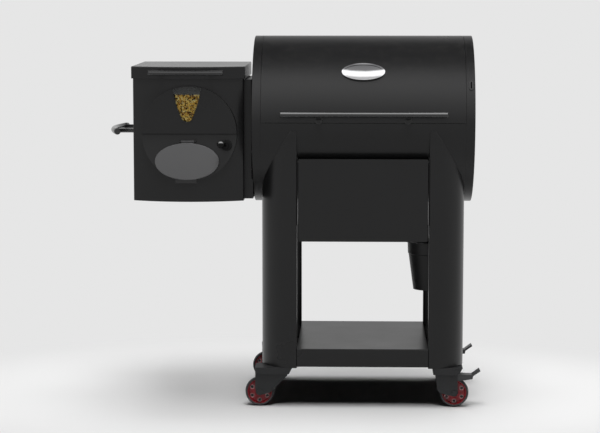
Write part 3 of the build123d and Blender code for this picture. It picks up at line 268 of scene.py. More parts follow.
def heatTintedSteel(name, look):
    # straw, brown and blue bands spread out from the fire below
    made = Finish(name)
    x, y = made.axes()[:2]
    reach = ((x - look["fire"][0]) ** 2.0 + (y - look["fire"][1]) ** 2.0).root()
    reach = reach + (made.noise(look["wanderScale"], 4.0) - 0.5) * look["wander"]
    band = reach.ramp(look["start"], look["spread"])
    color = made.node("ShaderNodeValToRGB", {"stops": look["tints"]}, {"Fac": band})
    grain = made.noise(look["grainScale"], 3.0, 0.6, (1, 14, 14))
    grease = made.noise(look["greaseScale"], 6.0, 0.65).ramp(0.5, 0.68)
    color = made.blend(grease * 0.55, color, look["grease"])
    roughness = look["roughness"] + grain * 0.16 + grease * 0.12
    normal = made.bump(grain + grease * 0.6, look["grain"], 0.0003, made.edge(look["edge"]))
    return made.surface({"Base Color": color, "Roughness": roughness,
                         "Metallic": 1.0 - grease * 0.5, "Normal": normal})


def castIron(name, look):
    made = Finish(name)
    casting = made.noise(look["castScale"], 3.0, 0.6)
    pits = made.cells(look["pitScale"]).ramp(0.0, 0.35)
    season = made.noise(look["seasonScale"], 5.0).ramp(0.45, 0.7)
    color = made.blend(season, look["enamel"], look["seasoned"])
    roughness = look["roughness"] + season * 0.16 + casting * 0.08
    normal = made.bump(casting + pits * 0.8, look["cast"], 0.0004, made.edge(look["edge"]))
    return made.surface({"Base Color": color, "Roughness": roughness, "Normal": normal,
                         "Coat Weight": look["coat"] - season * 0.2})


def mouldedPlastic(name, look):
    made = Finish(name)
    spark = made.noise(look["grainScale"], 3.0, 0.65)
    tone = made.noise(20.0, 3.0)
    color = made.blend(tone.ramp(0.3, 0.7), look["dark"], look["light"])
    roughness = look["roughness"] + (tone - 0.5) * 0.1 + spark * 0.06
    normal = made.bump(spark, look["grain"], 0.0002, made.edge(look["edge"]))
    return made.surface({"Base Color": color, "Roughness": roughness, "Normal": normal,
                         "Specular IOR Level": look["shine"], "Coat Weight": look["coat"]})


def badgePaintedReflection(name, look):
    # painted reflection: dark at the top, bright through the middle and mid grey along the foot, as a
    # dome would mirror its room
    made = Finish(name)
    low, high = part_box("badge")
    x, z = made.axes()[::2]
    rise = (z - low.z) / (high.z - low.z)
    across = abs(x - (low.x + high.x) / 2) / ((high.x - low.x) / 2)
    haze = made.noise(look["hazeScale"], 5.0, 0.6)
    rise = rise - across * across * look["sag"] + (haze - 0.5) * 0.05
    # the painted reflection bands, chosen by height on the badge
    tone = made.node("ShaderNodeValToRGB", {"stops": look["tones"]}, {"Fac": rise})
    hairs = made.noise(look["hairScale"], 3.0, 0.6, look["hairStretch"])
    roughness = look["roughness"] + haze * 0.08 + hairs * 0.06
    normal = made.bump(hairs, look["hairBump"], 0.00012, made.edge(look["edge"]))
    return made.surface({"Base Color": tone, "Roughness": roughness, "Metallic": 1.0,
                         "Normal": normal})


def smokedCover(name, look):
    # a grey oval with hinge and thumb tabs outside its rim; the oval darkens towards its foot as
    # painted shade, the hinge tab is painted lighter as if lit from above, and the thumb tab is painted
    # near black as shade under the oval
    made = Finish(name)
    x, z = made.axes()[::2]
    wide = (x - look["middle"][0]) / look["half"][0]
    tall = (z - look["middle"][1]) / look["half"][1]
    tab = (wide * wide + tall * tall).ramp(*look["rim"])
    tone = made.noise(20.0, 3.0) * 0.4 + made.noise(look["speckScale"], 1.0) * 0.6
    color = made.blend(tone, look["dark"], look["light"])
    # painted shade: the oval darkens towards its foot
    paintedShadeFootColor = made.blend(look["footShade"], color, (0, 0, 0))
    color = made.blend((tall + 1) * 0.5, paintedShadeFootColor, color)
    # painted light and shade on the tabs: the hinge tab lighter as if lit, the thumb tab near black as
    # shade
    tabsPaintedLightAndShade = made.blend(tall.ramp(-0.2, 0.2), look["thumbTabPaintedShade"], look["hingeTabPaintedLight"])
    color = made.blend(tab, color, tabsPaintedLightAndShade)
    roughness = look["roughness"] + tone * 0.05
    spark = made.noise(look["grainScale"], 3.0, 0.65)
    normal = made.bump(spark, look["grain"], 0.0002, made.edge(look["edge"]))
    return made.surface({"Base Color": color, "Roughness": roughness, "Normal": normal,
                         "Specular IOR Level": look["shine"]})


def pocketedHub(name, look):
    # glossy red, with painted shade dark down in the blind pockets round the disc, and soft lacquered
    # lips
    made = Finish(name)
    x, y, z = made.axes("Generated")
    x = (x - 0.5) * look["width"]
    z = (z - 0.5) * look["width"]
    paintedPocketShade = (abs(y - 0.5) * 2).ramp(look["floor"], look["face"], 1.0, 0.0)
    # one pocket's share of the disc, folded about the pocket's middle
    share = math.pi / look["pockets"]
    turn = made.math("ARCTAN2", z, x) - look["turn"]
    turn = made.math("PINGPONG", turn, share)
    reach = (x * x + z * z).root()
    along = reach * made.math("COSINE", turn) - look["ring"]
    aside = reach * made.math("SINE", turn)
    away = (along * along + aside * aside).root()
    lip = away.ramp(look["radius"] * 0.9, look["radius"] * 1.9)
    tone = made.noise(look["toneScale"], 4.0, 0.6)
    color = made.blend(tone.ramp(0.3, 0.7), look["dark"], look["light"])
    # painted shade down in the pockets
    color = made.blend(paintedPocketShade, color, look["paintedPocketShade"])
    roughness = look["roughness"] + tone * 0.08
    normal = made.bump(lip, 1.0, look["lip"], made.edge(look["edge"]))
    coat = (1.0 - lip) * (1.0 - paintedPocketShade)
    return made.surface({"Base Color": color, "Roughness": roughness, "Normal": normal,
                         "Specular IOR Level": look["shine"], "Coat Weight": coat,
                         "Coat IOR": look["coatIor"], "Coat Roughness": look["coatRoughness"]})


def glossBall(name, look):
    # black, with its lacquer thickest over the top
    made = Finish(name)
    z = made.axes()[2]
    cap = ((z - look["middleZ"]) / look["radius"]).ramp(*look["cap"])
    haze = made.noise(look["hazeScale"], 3.0)
    color = made.blend(haze, look["dark"], look["light"])
    roughness = look["roughness"] + haze * 0.03
    normal = made.bump(haze, 0.01, 0.0001)
    return made.surface({"Base Color": color, "Roughness": roughness, "Normal": normal,
                         "Specular IOR Level": look["shine"], "Coat Weight": cap,
                         "Coat IOR": look["coatIor"]})


def roundBar(name, look):
    # a glossy bar whose posts and washers behind it are painted near black as shade
    made = Finish(name)
    y, z = made.axes()[1:]
    away = ((y - look["axis"][0]) ** 2.0 + (z - look["axis"][1]) ** 2.0).root()
    behind = away.ramp(look["radius"] * 1.1, look["radius"] * 1.35)
    tone = made.noise(look["toneScale"], 3.0)
    color = made.blend(tone, look["dark"], look["light"])
    # painted shade on the posts and washers behind the bar
    color = made.blend(behind, color, look["behind"])
    roughness = look["roughness"] + tone * 0.04 + behind * 0.5
    normal = made.bump(tone, 0.02, 0.0003, made.edge(look["edge"]))
    cap = ((z - look["axis"][1]) / look["radius"]).ramp(*look["cap"]) * (1.0 - behind)
    return made.surface({"Base Color": color, "Roughness": roughness, "Normal": normal,
                         "Specular IOR Level": look["shine"], "Coat Weight": cap,
                         "Coat IOR": look["coatIor"], "Coat Roughness": look["coatRoughness"]})


def tyreRubber(name, look):
    made = Finish(name)
    grit = made.noise(look["gritScale"], 2.0)
    scuff = made.noise(look["scuffScale"], 5.0, 0.7).ramp(0.5, 0.72)
    color = made.blend(scuff * 0.55, look["rubber"], look["scuffed"])
    roughness = look["roughness"] + scuff * 0.2 + grit * 0.08
    normal = made.bump(grit + scuff * 0.4, look["grit"], 0.0003, made.edge(look["edge"]))
    return made.surface({"Base Color": color, "Roughness": roughness, "Normal": normal,
                         "Specular IOR Level": look["shine"]})


def clearGlass(name, look):
    # see-through and smeared, with a dusty part above the pellets
    made = Finish(name)
    smear = made.noise(look["smearScale"], 5.0, 0.65, (1, 1, 0.4)).ramp(0.45, 0.8)
    z = made.axes()[2]
    dusty = (z + (smear - 0.5) * 0.004).ramp(look["dustFrom"], look["dustTo"])
    gloss = made.node("ShaderNodeBsdfPrincipled", None, {
        "Base Color": look["tint"], "Roughness": look["roughness"] + smear * 0.12})
    clear = made.node("ShaderNodeBsdfTransparent", None, {"Color": look["clear"]})
    bounce = made.node("ShaderNodeFresnel", None, {"IOR": look["ior"]})
    amount = bounce * 1.1 + smear * look["smear"] + look["body"] + dusty * look["dust"]
    mixed = made.node("ShaderNodeMixShader", None, {0: amount.least(look["most"]), 1: clear, 2: gloss})
    made.node("ShaderNodeOutputMaterial", None, {"Surface": mixed})
    return made.owner


def pressedWood(name, look):
    # each pellet has its own tone, with a glazed skin and fine cracks
    made = Finish(name)
    own = made.node("ShaderNodeNewGeometry", out="Random Per Island")
    grain = made.noise(look["grainScale"], 5.0, 0.7)
    skin = made.noise(look["skinScale"], 3.0)
    color = made.node("ShaderNodeValToRGB", {"stops": look["tones"]}, {"Fac": own})
    color = made.blend(grain.ramp(0.5, 0.75) * 0.5, color, look["crack"])
    color = made.blend(skin.ramp(0.6, 0.78) * 0.2, color, look["glaze"])
    # painted light and shade: the row against the window is painted lighter and glows, the rows behind
    # it are painted into shade, and the heap in the bin is painted darker
    y = made.axes()[1]
    front = (0.0 - y).ramp(*look["front"])
    row = made.blend((y - look["windowY"]).ramp(*look["rows"]), (1.0, 1.0, 1.0), look["rowShade"])
    color = made.blend(1.0, color, made.blend(front, look["heapShade"], row), "MULTIPLY")
    # painted glow on the row against the window, though pellets give no light
    paintedGlow = made.blend(front, (0.0, 0.0, 0.0), color)
    roughness = look["roughness"] - skin * 0.22
    normal = made.bump(grain, look["grain"], 0.0006)
    return made.surface({"Base Color": color, "Roughness": roughness, "Normal": normal,
                         "Specular IOR Level": look["shine"], "Emission Color": paintedGlow,
                         "Emission Strength": look["paintedGlow"]})


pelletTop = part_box("wood_pellets")[1].z
satinBlack = {"dark": (0.0078, 0.0078, 0.008), "light": (0.009, 0.009, 0.0093), "dust": 0.05,
              "shine": 0.26, "edge": 0.0012}
finishes = {
    "body_paint": powderCoat("satinBlackPowderCoat", {
        **satinBlack, "roughness": 0.29, "peelScale": 720.0, "peel": 0.05}),
    "shelf_paint": powderCoat("shelfPowderCoat", {
        **satinBlack, "roughness": 0.3, "peelScale": 760.0, "peel": 0.05}),
    "handle_gloss": powderCoat("glossBlackHandle", {
        "dark": (0.01, 0.01, 0.0105), "light": (0.014, 0.014, 0.0145), "roughness": 0.17,
        "peelScale": 520.0, "peel": 0.02, "dust": 0.02, "shine": 0.5, "edge": 0.001}),
    "fork_paint": powderCoat("casterForkPaint", {
        "dark": (0.012, 0.0125, 0.0132), "light": (0.017, 0.0175, 0.0185), "roughness": 0.5,
        "peelScale": 640.0, "peel": 0.07, "dust": 0.14, "shine": 0.3, "edge": 0.0008}),
    "pedal_paint": powderCoat("brakePedalPaint", {
        "dark": (0.015, 0.015, 0.016), "light": (0.03, 0.03, 0.032), "roughness": 0.36,
        "peelScale": 600.0, "peel": 0.06, "dust": 0.1, "shine": 0.5, "edge": 0.0008}),
    "bucket_steel": powderCoat("bucketPaint", {
        "dark": (0.019, 0.019, 0.0195), "light": (0.028, 0.028, 0.0285), "roughness": 0.46,
        "peelScale": 560.0, "peel": 0.09, "dust": 0.1, "shine": 0.3, "edge": 0.0008}),
    "drain_steel": powderCoat("drainPaint", {
        "dark": (0.012, 0.0115, 0.011), "light": (0.024, 0.021, 0.018), "roughness": 0.48,
        "peelScale": 480.0, "peel": 0.14, "dust": 0.1, "shine": 0.3, "edge": 0.0008}),
    "bolt_steel": powderCoat("blackOxideBolt", {
        "dark": (0.014, 0.014, 0.015), "light": (0.034, 0.034, 0.036), "roughness": 0.34,
        "peelScale": 900.0, "peel": 0.05, "dust": 0.06, "shine": 0.5, "edge": 0.0004}),
    "cover_grey": smokedCover("smokedCoverPlastic", {
        "dark": (0.099, 0.099, 0.101), "light": (0.108, 0.108, 0.11),
        "hingeTabPaintedLight": (0.05, 0.05, 0.051), "thumbTabPaintedShade": (0.007, 0.007, 0.0072),
        "middle": (-0.597, 0.849), "half": (0.109, 0.0621), "rim": (1.0, 1.03),
        "footShade": 0.12, "roughness": 0.3, "shine": 0.3, "speckScale": 1500.0,
        "grainScale": 900.0, "grain": 0.03, "edge": 0.0012}),
    "badge_chrome": badgePaintedReflection("badgeChromePaintedReflection", {
        "roughness": 0.1, "sag": 0.1, "hazeScale": 70.0, "hairScale": 900.0,
        "hairStretch": (0.08, 1, 1), "hairBump": 0.06, "edge": 0.0006,
        # painted reflection bands, from the badge's foot (0) to its top (1)
        "tones": [(0.0, (0.42, 0.42, 0.425)), (0.2, (0.34, 0.34, 0.345)), (0.3, (0.8, 0.8, 0.81)),
                  (0.5, (0.8, 0.8, 0.81)), (0.6, (0.15, 0.15, 0.153)), (0.88, (0.11, 0.11, 0.113)),
                  (1.0, (0.3, 0.3, 0.305))]}),
    "rack_chrome": polished("rackChrome", {
        "dark": (0.34, 0.31, 0.27), "light": (0.6, 0.6, 0.61), "roughness": 0.16,
        "hazeScale": 45.0, "hairScale": 300.0, "hairStretch": (0.2, 1, 1), "hairRoughness": 0.08,
        "hairBump": 0.05, "edge": 0.0004}),
    "screw_steel": polished("zincPlate", {
        "dark": (0.36, 0.37, 0.38), "light": (0.56, 0.57, 0.58), "roughness": 0.26,
        "hazeScale": 120.0, "hairScale": 400.0, "hairStretch": (1, 1, 1), "hairRoughness": 0.12,
        "hairBump": 0.06, "edge": 0.0004}),
    "inner_steel": spangledSteel("aluminisedSteel", {
        "dark": (0.32, 0.32, 0.325), "light": (0.5, 0.5, 0.51), "roughness": 0.32,
        "spangleScale": 90.0, "stainScale": 14.0, "stain": 0.55,
        "stainColor": (0.06, 0.045, 0.032), "grainScale": 180.0, "grain": 0.12, "edge": 0.0006}),
    "broiler_steel": heatTintedSteel("heatTintedBroiler", {
        "fire": (-0.02, 0.0), "start": 0.02, "spread": 0.42, "wanderScale": 11.0, "wander": 0.16,
        "roughness": 0.32, "grainScale": 60.0, "grain": 0.2, "greaseScale": 6.0,
        "grease": (0.05, 0.032, 0.02), "edge": 0.0008,
        "tints": [(0.0, (0.05, 0.05, 0.055)), (0.18, (0.1, 0.12, 0.2)), (0.32, (0.2, 0.12, 0.14)),
                  (0.48, (0.36, 0.24, 0.1)), (0.7, (0.4, 0.37, 0.32)), (1.0, (0.34, 0.34, 0.34))]}),
    "grate_iron": castIron("enamelledGrate", {
        "enamel": (0.016, 0.016, 0.017), "seasoned": (0.034, 0.024, 0.017), "roughness": 0.3,
        "castScale": 420.0, "cast": 0.22, "pitScale": 160.0, "seasonScale": 17.0, "coat": 0.25,
        "edge": 0.0012}),
    "fan_plastic": mouldedPlastic("fanPlastic", {
        "dark": (0.016, 0.016, 0.017), "light": (0.024, 0.024, 0.025), "roughness": 0.46,
        "grainScale": 700.0, "grain": 0.1, "edge": 0.0004, "shine": 0.4, "coat": 0.0}),
    "panel_plastic": mouldedPlastic("panelPlastic", {
        "dark": (0.016, 0.016, 0.0165), "light": (0.022, 0.022, 0.023), "roughness": 0.44,
        "grainScale": 1100.0, "grain": 0.12, "edge": 0.0006, "shine": 0.4, "coat": 0.0}),
    "button_plastic": mouldedPlastic("redButtonPlastic", {
        "dark": (0.36, 0.018, 0.018), "light": (0.44, 0.026, 0.024), "roughness": 0.28,
        "grainScale": 900.0, "grain": 0.04, "edge": 0.0005, "shine": 0.5, "coat": 0.4}),
    "port_rubber": mouldedPlastic("blackGrommetRubber", {
        "dark": (0.01, 0.01, 0.01), "light": (0.018, 0.018, 0.018), "roughness": 0.5,
        "grainScale": 600.0, "grain": 0.08, "edge": 0.0006, "shine": 0.4, "coat": 0.0}),
    "hub_red": pocketedHub("redHubPlastic", {
        "dark": (0.17, 0.004, 0.009), "light": (0.26, 0.008, 0.014), "paintedPocketShade": (0.012, 0.001, 0.001),
        "floor": 0.1, "face": 0.26, "width": 0.084, "pockets": 6, "turn": math.pi / 6,
        "ring": 0.03, "radius": 0.005, "lip": 0.0022, "roughness": 0.16, "shine": 0.3,
        "toneScale": 40.0, "coatIor": 2.2, "coatRoughness": 0.1, "edge": 0.0012}),
    "tyre_rubber": tyreRubber("tyreRubber", {
        "rubber": (0.024, 0.024, 0.026), "scuffed": (0.06, 0.058, 0.055), "roughness": 0.52,
        "gritScale": 700.0, "grit": 0.16, "scuffScale": 46.0, "shine": 0.4, "edge": 0.001}),
    "glass": clearGlass("windowGlass", {
        "tint": (0.034, 0.037, 0.0365, 1), "clear": (0.95, 0.96, 0.96, 1), "roughness": 0.04,
        "ior": 1.5, "smearScale": 26.0, "smear": 0.03, "body": 0.02, "dust": 0.7, "most": 0.92,
        "dustFrom": pelletTop - 0.004, "dustTo": pelletTop + 0.003}),
    "pellets": pressedWood("pressedWood", {
        "tones": [(0.0, (0.24, 0.1, 0.015)), (0.2, (0.64, 0.36, 0.06)), (0.4, (0.93, 0.6, 0.12)),
                  (0.7, (1.0, 0.73, 0.19)), (1.0, (1.0, 0.88, 0.42))],
        "crack": (0.12, 0.05, 0.01), "glaze": (0.95, 0.8, 0.36), "roughness": 0.62,
        "grainScale": 420.0, "grain": 0.5, "skinScale": 95.0, "shine": 0.35, "paintedGlow": 0.15,
        "heapShade": (0.5, 0.42, 0.34), "front": (0.22, 0.26),
        "windowY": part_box("window_glass")[1].y, "rows": (0.005, 0.011),
        "rowShade": (0.1, 0.06, 0.03)}),
}

# the lever's ball, a little fuller than the stem's end, with a short collar behind it
knobSettings = {
    "middle": (-0.4785, -0.333, 0.9114),
    "radius": 0.0142,
    "startAngle": 0.12,
    "sweep": math.pi - 0.42,
    "collar": (0.0006, 0.004),
    "collarRadius": 0.0052,
    "rings": 20,
    "sides": 32,
}

# a few nodes have a finish of their own, and the rest take their slot's
knobFinish = glossBall("glossBlackBall", {
    "dark": (0.002, 0.002, 0.002), "light": (0.004, 0.004, 0.004), "roughness": 0.04, "shine": 0.12,
    "coatIor": 2.7, "cap": (0.15, 0.6), "hazeScale": 300.0, "middleZ": knobSettings["middle"][2],
    "radius": knobSettings["radius"]})
bushFinish = powderCoat("leverBush", {
    "dark": (0.003, 0.003, 0.003), "light": (0.006, 0.006, 0.006), "roughness": 0.3,
    "peelScale": 500.0, "peel": 0.03, "dust": 0.0, "shine": 0.12, "edge": 0.0008})
lidBarFinish = roundBar("glossLidBar", {
    "dark": (0.011, 0.011, 0.0115), "light": (0.015, 0.015, 0.0155), "roughness": 0.12,
    # behind: painted shade for the posts and washers
    "behind": (0.002, 0.002, 0.002), "axis": (-0.345, 1.0125), "radius": 0.0108, "shine": 0.5,
    "toneScale": 520.0, "cap": (0.0, 0.35), "coatIor": 1.9, "coatRoughness": 0.08, "edge": 0.001})
lidTopFinish = powderCoat("hopperLidPaint", {
    **satinBlack, "roughness": 0.23, "peelScale": 720.0, "peel": 0.03})
ownFinish = {"flame_lever": knobFinish, "lever_bush": bushFinish, "hopper_lid": lidTopFinish,
             "lid_handle": lidBarFinish}
slotOf = {part["node"]: part["material_slot"] for part in frame["record"]["subparts"]}
for name, node in nodes.items():
    for holder in node.material_slots:
        holder.material = ownFinish.get(name, finishes[slotOf[name]])
print("finishes assigned:", len(finishes))


def meshPiece(name, verts, faces, finish, body, slot):
    # sides with four corners are shaded smooth, and the ends stay flat
    mesh = bpy.data.meshes.new(name)
    mesh.from_pydata(verts, [], faces)
    mesh.polygons.foreach_set("use_smooth", [len(face) == 4 for face in faces])
    mesh.materials.append(finish)
    piece = bpy.data.objects.new(name, mesh)
    scene.collection.objects.link(piece)
    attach(piece, body)
    return piece


# pellets: one short rod each, packed behind the glass and heaped in the bin
pelletSettings = {
    "seed": 11,
    "radius": 0.0030,
    "lengths": (0.010, 0.021),
    "sides": 6,
    "rings": [(-0.5, 0.72), (-0.46, 1.0), (0.46, 1.0), (0.5, 0.72)],  # rounded at both ends
    "rowGap": 0.0045,
}
windowSettings = {
    "rows": 3,
    "step": 0.0078,
    "radiusShare": 0.85,
    "lengthShare": 0.6,
    "halfSpan": 0.047,
    "jitter": 0.003,
    "depthJitter": 0.002,
    "lean": 0.35,
    "footGap": 0.004,
    "topGap": 0.001,
    "rimGap": 0.002,
    # heights above the window's foot, with half its width at each
    "outline": [(0.0, 0.006), (0.008, 0.019), (0.035, 0.031), (0.061, 0.0395), (0.12, 0.05)],
}
heapSettings = {
    "layers": 3,
    "step": 0.0072,
    "spread": 1.35,
    "wallGap": 0.007,
    "front": -0.215,
    "jitter": 0.004,
    "sink": 0.003,
    "lean": 0.3,
}


def addPellet(verts, faces, middle, along, length, radius):
    rings, sides = pelletSettings["rings"], pelletSettings["sides"]
    turn = Vector((0, 0, 1)).rotation_difference(along)
    first = len(verts)
    for place, width in rings:
        for number in range(sides):
            angle = 2 * math.pi * number / sides
            spot = Vector((math.cos(angle) * radius * width, math.sin(angle) * radius * width,
                           place * length))
            verts.append(middle + turn @ spot)
    for ring in range(len(rings) - 1):
        for number in range(sides):
            after = (number + 1) % sides
            base = first + ring * sides
            faces.append((base + number, base + after, base + sides + after, base + sides + number))
    last = first + (len(rings) - 1) * sides
    faces.append(tuple(first + number for number in reversed(range(sides))))
    faces.append(tuple(last + number for number in range(sides)))


def windowHalfWidth(z, outline):
    # half the window's width at a height, from its foot to the pellet level
    for (lowZ, lowWidth), (highZ, highWidth) in zip(outline, outline[1:]):
        if lowZ <= z <= highZ:
            return lowWidth + (highWidth - lowWidth) * (z - lowZ) / (highZ - lowZ)
    return 0.0


def packWindow(verts, faces, dice):
    # short pellets in rows against the glass, inside the window's outline
    look = windowSettings
    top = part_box("wood_pellets")[1].z - look["topGap"]
    glassLow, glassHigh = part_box("window_glass")
    middleX = (glassLow.x + glassHigh.x) / 2
    outline = [(glassLow.z + rise, width) for rise, width in look["outline"]]
    rowGap, jitter = pelletSettings["rowGap"], look["jitter"]
    for row in range(look["rows"]):
        z = glassLow.z + look["footGap"]
        while z < top:
            x = middleX - look["halfSpan"]
            while x < middleX + look["halfSpan"]:
                spotX = x + dice.uniform(-jitter, jitter)
                spotZ = z + dice.uniform(-jitter, jitter)
                if abs(spotX - middleX) < windowHalfWidth(spotZ, outline) - look["rimGap"]:
                    tilt = dice.uniform(0, math.pi)
                    lean = dice.uniform(-look["lean"], look["lean"])
                    along = Vector((math.cos(tilt), lean, math.sin(tilt))).normalized()
                    length = dice.uniform(*pelletSettings["lengths"]) * look["lengthShare"]
                    y = glassHigh.y + rowGap + row * rowGap + dice.uniform(0, look["depthJitter"])
                    addPellet(verts, faces, Vector((spotX, y, spotZ)), along, length,
                              pelletSettings["radius"] * look["radiusShare"])
                x += look["step"]
            z += look["step"]


def heapBin(verts, faces, dice):
    # whole pellets in layers over the solid heap
    look = heapSettings
    low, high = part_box("wood_pellets")
    gap, jitter, rowGap = look["wallGap"], look["jitter"], pelletSettings["rowGap"]
    step = look["step"] * look["spread"]
    for layer in range(look["layers"]):
        y = look["front"] + gap
        while y < high.y - gap:
            x = low.x + gap
            while x < high.x - gap:
                along = Vector((dice.uniform(-1, 1), dice.uniform(-1, 1),
                                dice.uniform(-look["lean"], look["lean"]))).normalized()
                length = dice.uniform(*pelletSettings["lengths"])
                z = high.z - look["sink"] - layer * rowGap - dice.uniform(0, look["sink"])
                spot = Vector((x + dice.uniform(-jitter, jitter), y + dice.uniform(-jitter, jitter), z))
                addPellet(verts, faces, spot, along, length, pelletSettings["radius"])
                x += step
            y += step


def makePellets():
    dice = random.Random(pelletSettings["seed"])
    verts, faces = [], []
    packWindow(verts, faces, dice)
    heapBin(verts, faces, dice)
    print("pellets made:", len(verts) // (len(pelletSettings["rings"]) * pelletSettings["sides"]))
    return verts, faces


pelletHeap = meshPiece("pelletHeap", *makePellets(), finishes["pellets"], "grill", "pellets")
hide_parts("wood_pellets")


def addSweep(verts, faces, spots, radii, sides):
    # a round section carried along a line of spots, with its own radius at each
    first = len(verts)
    for number, spot in enumerate(spots):
        before, after = spots[max(number - 1, 0)], spots[min(number + 1, len(spots) - 1)]
        along = (after - before).normalized()
        side = along.cross(Vector((0, 0, 1)) if abs(along.z) < 0.9 else Vector((0, 1, 0))).normalized()
        rise = side.cross(along)
        for turn in range(sides):
            angle = 2 * math.pi * turn / sides
            verts.append(spot + (side * math.cos(angle) + rise * math.sin(angle)) * radii[number])
    for ring in range(len(spots) - 1):
        for turn in range(sides):
            after = (turn + 1) % sides
            base = first + ring * sides
            faces.append((base + turn, base + sides + turn, base + sides + after, base + after))
    last = first + (len(spots) - 1) * sides
    faces.append(tuple(first + turn for turn in range(sides)))
    faces.append(tuple(last + turn for turn in reversed(range(sides))))


# the hopper's side handle: a bar that bows outward, held off the wall by two posts
gripSettings = {
    "barX": -0.848,
    "z": 0.942,
    "yFront": -0.165,
    "yBack": 0.155,
    "bow": 0.028,
    "radius": 0.0115,
    "waist": 0.0108,
    "steps": 28,
    "rim": [(0.0, 0.84), (0.0006, 0.93), (0.0018, 0.99), (0.0035, 1.0)],  # depth, share of radius
    "posts": (-0.115, 0.105),
    "postRadius": 0.0072,
    # distance from the hopper's wall, share of the post's radius
    "washer": [(-0.0045, 1.0), (-0.0032, 1.25), (-0.003, 1.8), (-0.0008, 1.85), (0.001, 1.85)],
    "sides": 32,
}


def makeSideGrip():
    look = gripSettings
    verts, faces = [], []
    middle = (look["yFront"] + look["yBack"]) / 2
    half = (look["yBack"] - look["yFront"]) / 2

    def barX(y):
        return look["barX"] - look["bow"] * (1 - ((y - middle) / half) ** 2)

    spots, radii = [], []
    steps = look["steps"]
    for number in range(steps + 1):
        along = number / steps
        y = look["yFront"] + 2 * half * along
        spots.append(Vector((barX(y), y, look["z"])))
        radii.append(look["radius"] - (look["radius"] - look["waist"]) * math.sin(math.pi * along))
    for end, inward in ((0, 1), (steps, -1)):  # rounded rims on both ends
        tip = spots[end]
        lean = (spots[end + inward] - tip).normalized()
        rings = [(tip + lean * reach, look["radius"] * width) for reach, width in look["rim"]]
        if end == 0:
            spots = [spot for spot, width in rings] + spots[1:]
            radii = [width for spot, width in rings] + radii[1:]
        else:
            spots = spots[:-1] + [spot for spot, width in reversed(rings)]
            radii = radii[:-1] + [width for spot, width in reversed(rings)]
    addSweep(verts, faces, spots, radii, look["sides"])
    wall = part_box("hopper_housing")[0].x
    for y in look["posts"]:
        reaches = [(barX(y), 1.0)] + [(wall + reach, width) for reach, width in look["washer"]]
        spots = [Vector((x, y, look["z"])) for x, width in reaches]
        radii = [look["postRadius"] * width for x, width in reaches]
        addSweep(verts, faces, spots, radii, look["sides"])
    return verts, faces


sideGrip = meshPiece("sideGrip", *makeSideGrip(), finishes["handle_gloss"], "grill",
                     "handle_gloss")
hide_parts("side_handle")


def makeKnob():
    look = knobSettings
    verts, faces = [], []
    middle = Vector(look["middle"])
    spots, radii = [], []
    for number in range(look["rings"] + 1):
        angle = look["startAngle"] + look["sweep"] * number / look["rings"]
        spots.append(middle + Vector((0, -math.cos(angle) * look["radius"], 0)))
        radii.append(math.sin(angle) * look["radius"])
    spots += [spots[-1] + Vector((0, reach, 0)) for reach in look["collar"]]
    radii += [look["collarRadius"]] * len(look["collar"])
    addSweep(verts, faces, spots, radii, look["sides"])
    return verts, faces


meshPiece("leverKnob", *makeKnob(), knobFinish, "flame_lever", "handle_gloss")
print("handle and knob made")


# stage: pale floor that fades into the backdrop, and soft lights
stageSettings = {
    "backdrop": (0.791, 0.791, 0.791, 1),
    "floorColor": (0.755, 0.755, 0.755, 1),
    "floorRadius": 14,
    "floorSides": 64,
    # the lit pool that keeps the shadow, and where it fades into the backdrop, in metres
    "poolShift": 0.2,
    "poolStretch": (0.8, 1.2),
    "fadeFrom": 0.55,
    "fadeTo": 1.35,
    "ambient": (0.004, 0.004, 0.004, 1),
    # what glossy faces mirror, from the front horizon (0) over the top (0.5) to the back (1)
    "mirrored": [(0.0, 0.26), (0.03, 0.38), (0.07, 0.48), (0.12, 0.55), (0.2, 0.76), (0.26, 0.88),
                 (0.32, 0.8), (0.38, 0.54), (0.44, 0.2), (0.49, 0.03), (0.56, 0.0), (0.7, 0.01),
                 (0.78, 0.1), (0.84, 0.13), (0.9, 0.17), (0.94, 0.26), (1.0, 0.27)],
    "mirrorScale": 2.7,
}
floorMesh = bpy.data.meshes.new("studioFloor")
floorSides = stageSettings["floorSides"]
turns = [2 * math.pi * number / floorSides for number in range(floorSides)]
floorRadius = stageSettings["floorRadius"]
rim = [(floorRadius * math.cos(turn), floorRadius * math.sin(turn), 0) for turn in turns]
floorMesh.from_pydata(rim, [], [tuple(range(floorSides))])
floor = bpy.data.objects.new("studioFloor", floorMesh)
scene.collection.objects.link(floor)
paint = Finish("paleFloor")
x, y = paint.axes()[:2]
poolX = (x + stageSettings["poolShift"]) * stageSettings["poolStretch"][0]
poolY = y * stageSettings["poolStretch"][1]
away = (poolX ** 2.0 + poolY ** 2.0).root().ramp(stageSettings["fadeFrom"], stageSettings["fadeTo"])
lit = paint.node("ShaderNodeBsdfDiffuse", None, {"Color": stageSettings["floorColor"]})
flat = paint.node("ShaderNodeEmission", None, {"Color": stageSettings["backdrop"]})
mixed = paint.node("ShaderNodeMixShader", None, {0: away, 1: lit, 2: flat})
paint.node("ShaderNodeOutputMaterial", None, {"Surface": mixed})
floorMesh.materials.append(paint.owner)

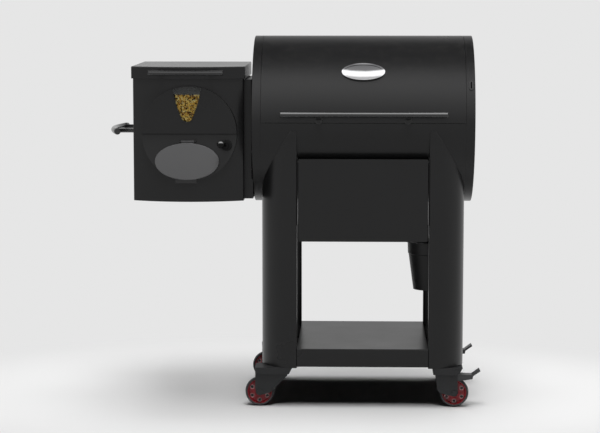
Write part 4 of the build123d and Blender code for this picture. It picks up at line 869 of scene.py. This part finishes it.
world = bpy.data.worlds.new("studio")
scene.world = world
sky = Finish("studio", world)
cameraRay, glossyRay, throughRay = (sky.node("ShaderNodeLightPath", out="Is %s Ray" % kind)
                                     for kind in ("Camera", "Glossy", "Transmission"))
y, z = sky.axes("Generated")[1:]
over = sky.math("ARCTAN2", z, 0.0 - y) / math.pi
stops = [(place, (value, value, value)) for place, value in stageSettings["mirrored"]]
tone = sky.node("ShaderNodeValToRGB", {"stops": stops}, {"Fac": over})
dim = sky.node("ShaderNodeBackground", None, {"Color": (0, 0, 0, 1)})
bright = sky.node("ShaderNodeBackground", None, {
    "Color": (1, 1, 1, 1), "Strength": stageSettings["mirrorScale"]})
mirrored = sky.node("ShaderNodeMixShader", None, {0: tone, 1: dim, 2: bright})
ambient = sky.node("ShaderNodeBackground", None, {"Color": stageSettings["ambient"]})
indirect = sky.node("ShaderNodeMixShader", None, {0: glossyRay, 1: ambient, 2: mirrored})
pale = sky.node("ShaderNodeBackground", None, {"Color": stageSettings["backdrop"]})
shown = cameraRay.greatest(throughRay)
backdrop = sky.node("ShaderNodeMixShader", None, {0: shown, 1: indirect, 2: pale})
sky.node("ShaderNodeOutputWorld", None, {"Surface": backdrop})

lampSettings = {
    "topBox": {"place": (0, 0, 5.2), "aim": (0, 0, 0), "size": (3.6, 3.6), "watts": 262},
    "frontFill": {"place": (0, -3.1, 6.0), "aim": (0, 0, 0.8), "size": (2.2, 2.2), "watts": 190},
    "backFill": {"place": (0, 3.1, 6.0), "aim": (0, 0, 0.8), "size": (2.2, 2.2), "watts": 105},
}
for name, look in lampSettings.items():
    data = bpy.data.lights.new(name, "AREA")
    data.shape = "RECTANGLE"
    data.size, data.size_y = look["size"]
    data.energy = look["watts"]
    lamp = bpy.data.objects.new(name, data)
    lamp.location = look["place"]
    aim = Vector(look["aim"]) - lamp.location
    lamp.rotation_euler = aim.to_track_quat("-Z", "Y").to_euler()
    lamp.visible_glossy = False  # the world's own soft highlight is mirrored instead
    scene.collection.objects.link(lamp)
print("stage and lights ready")
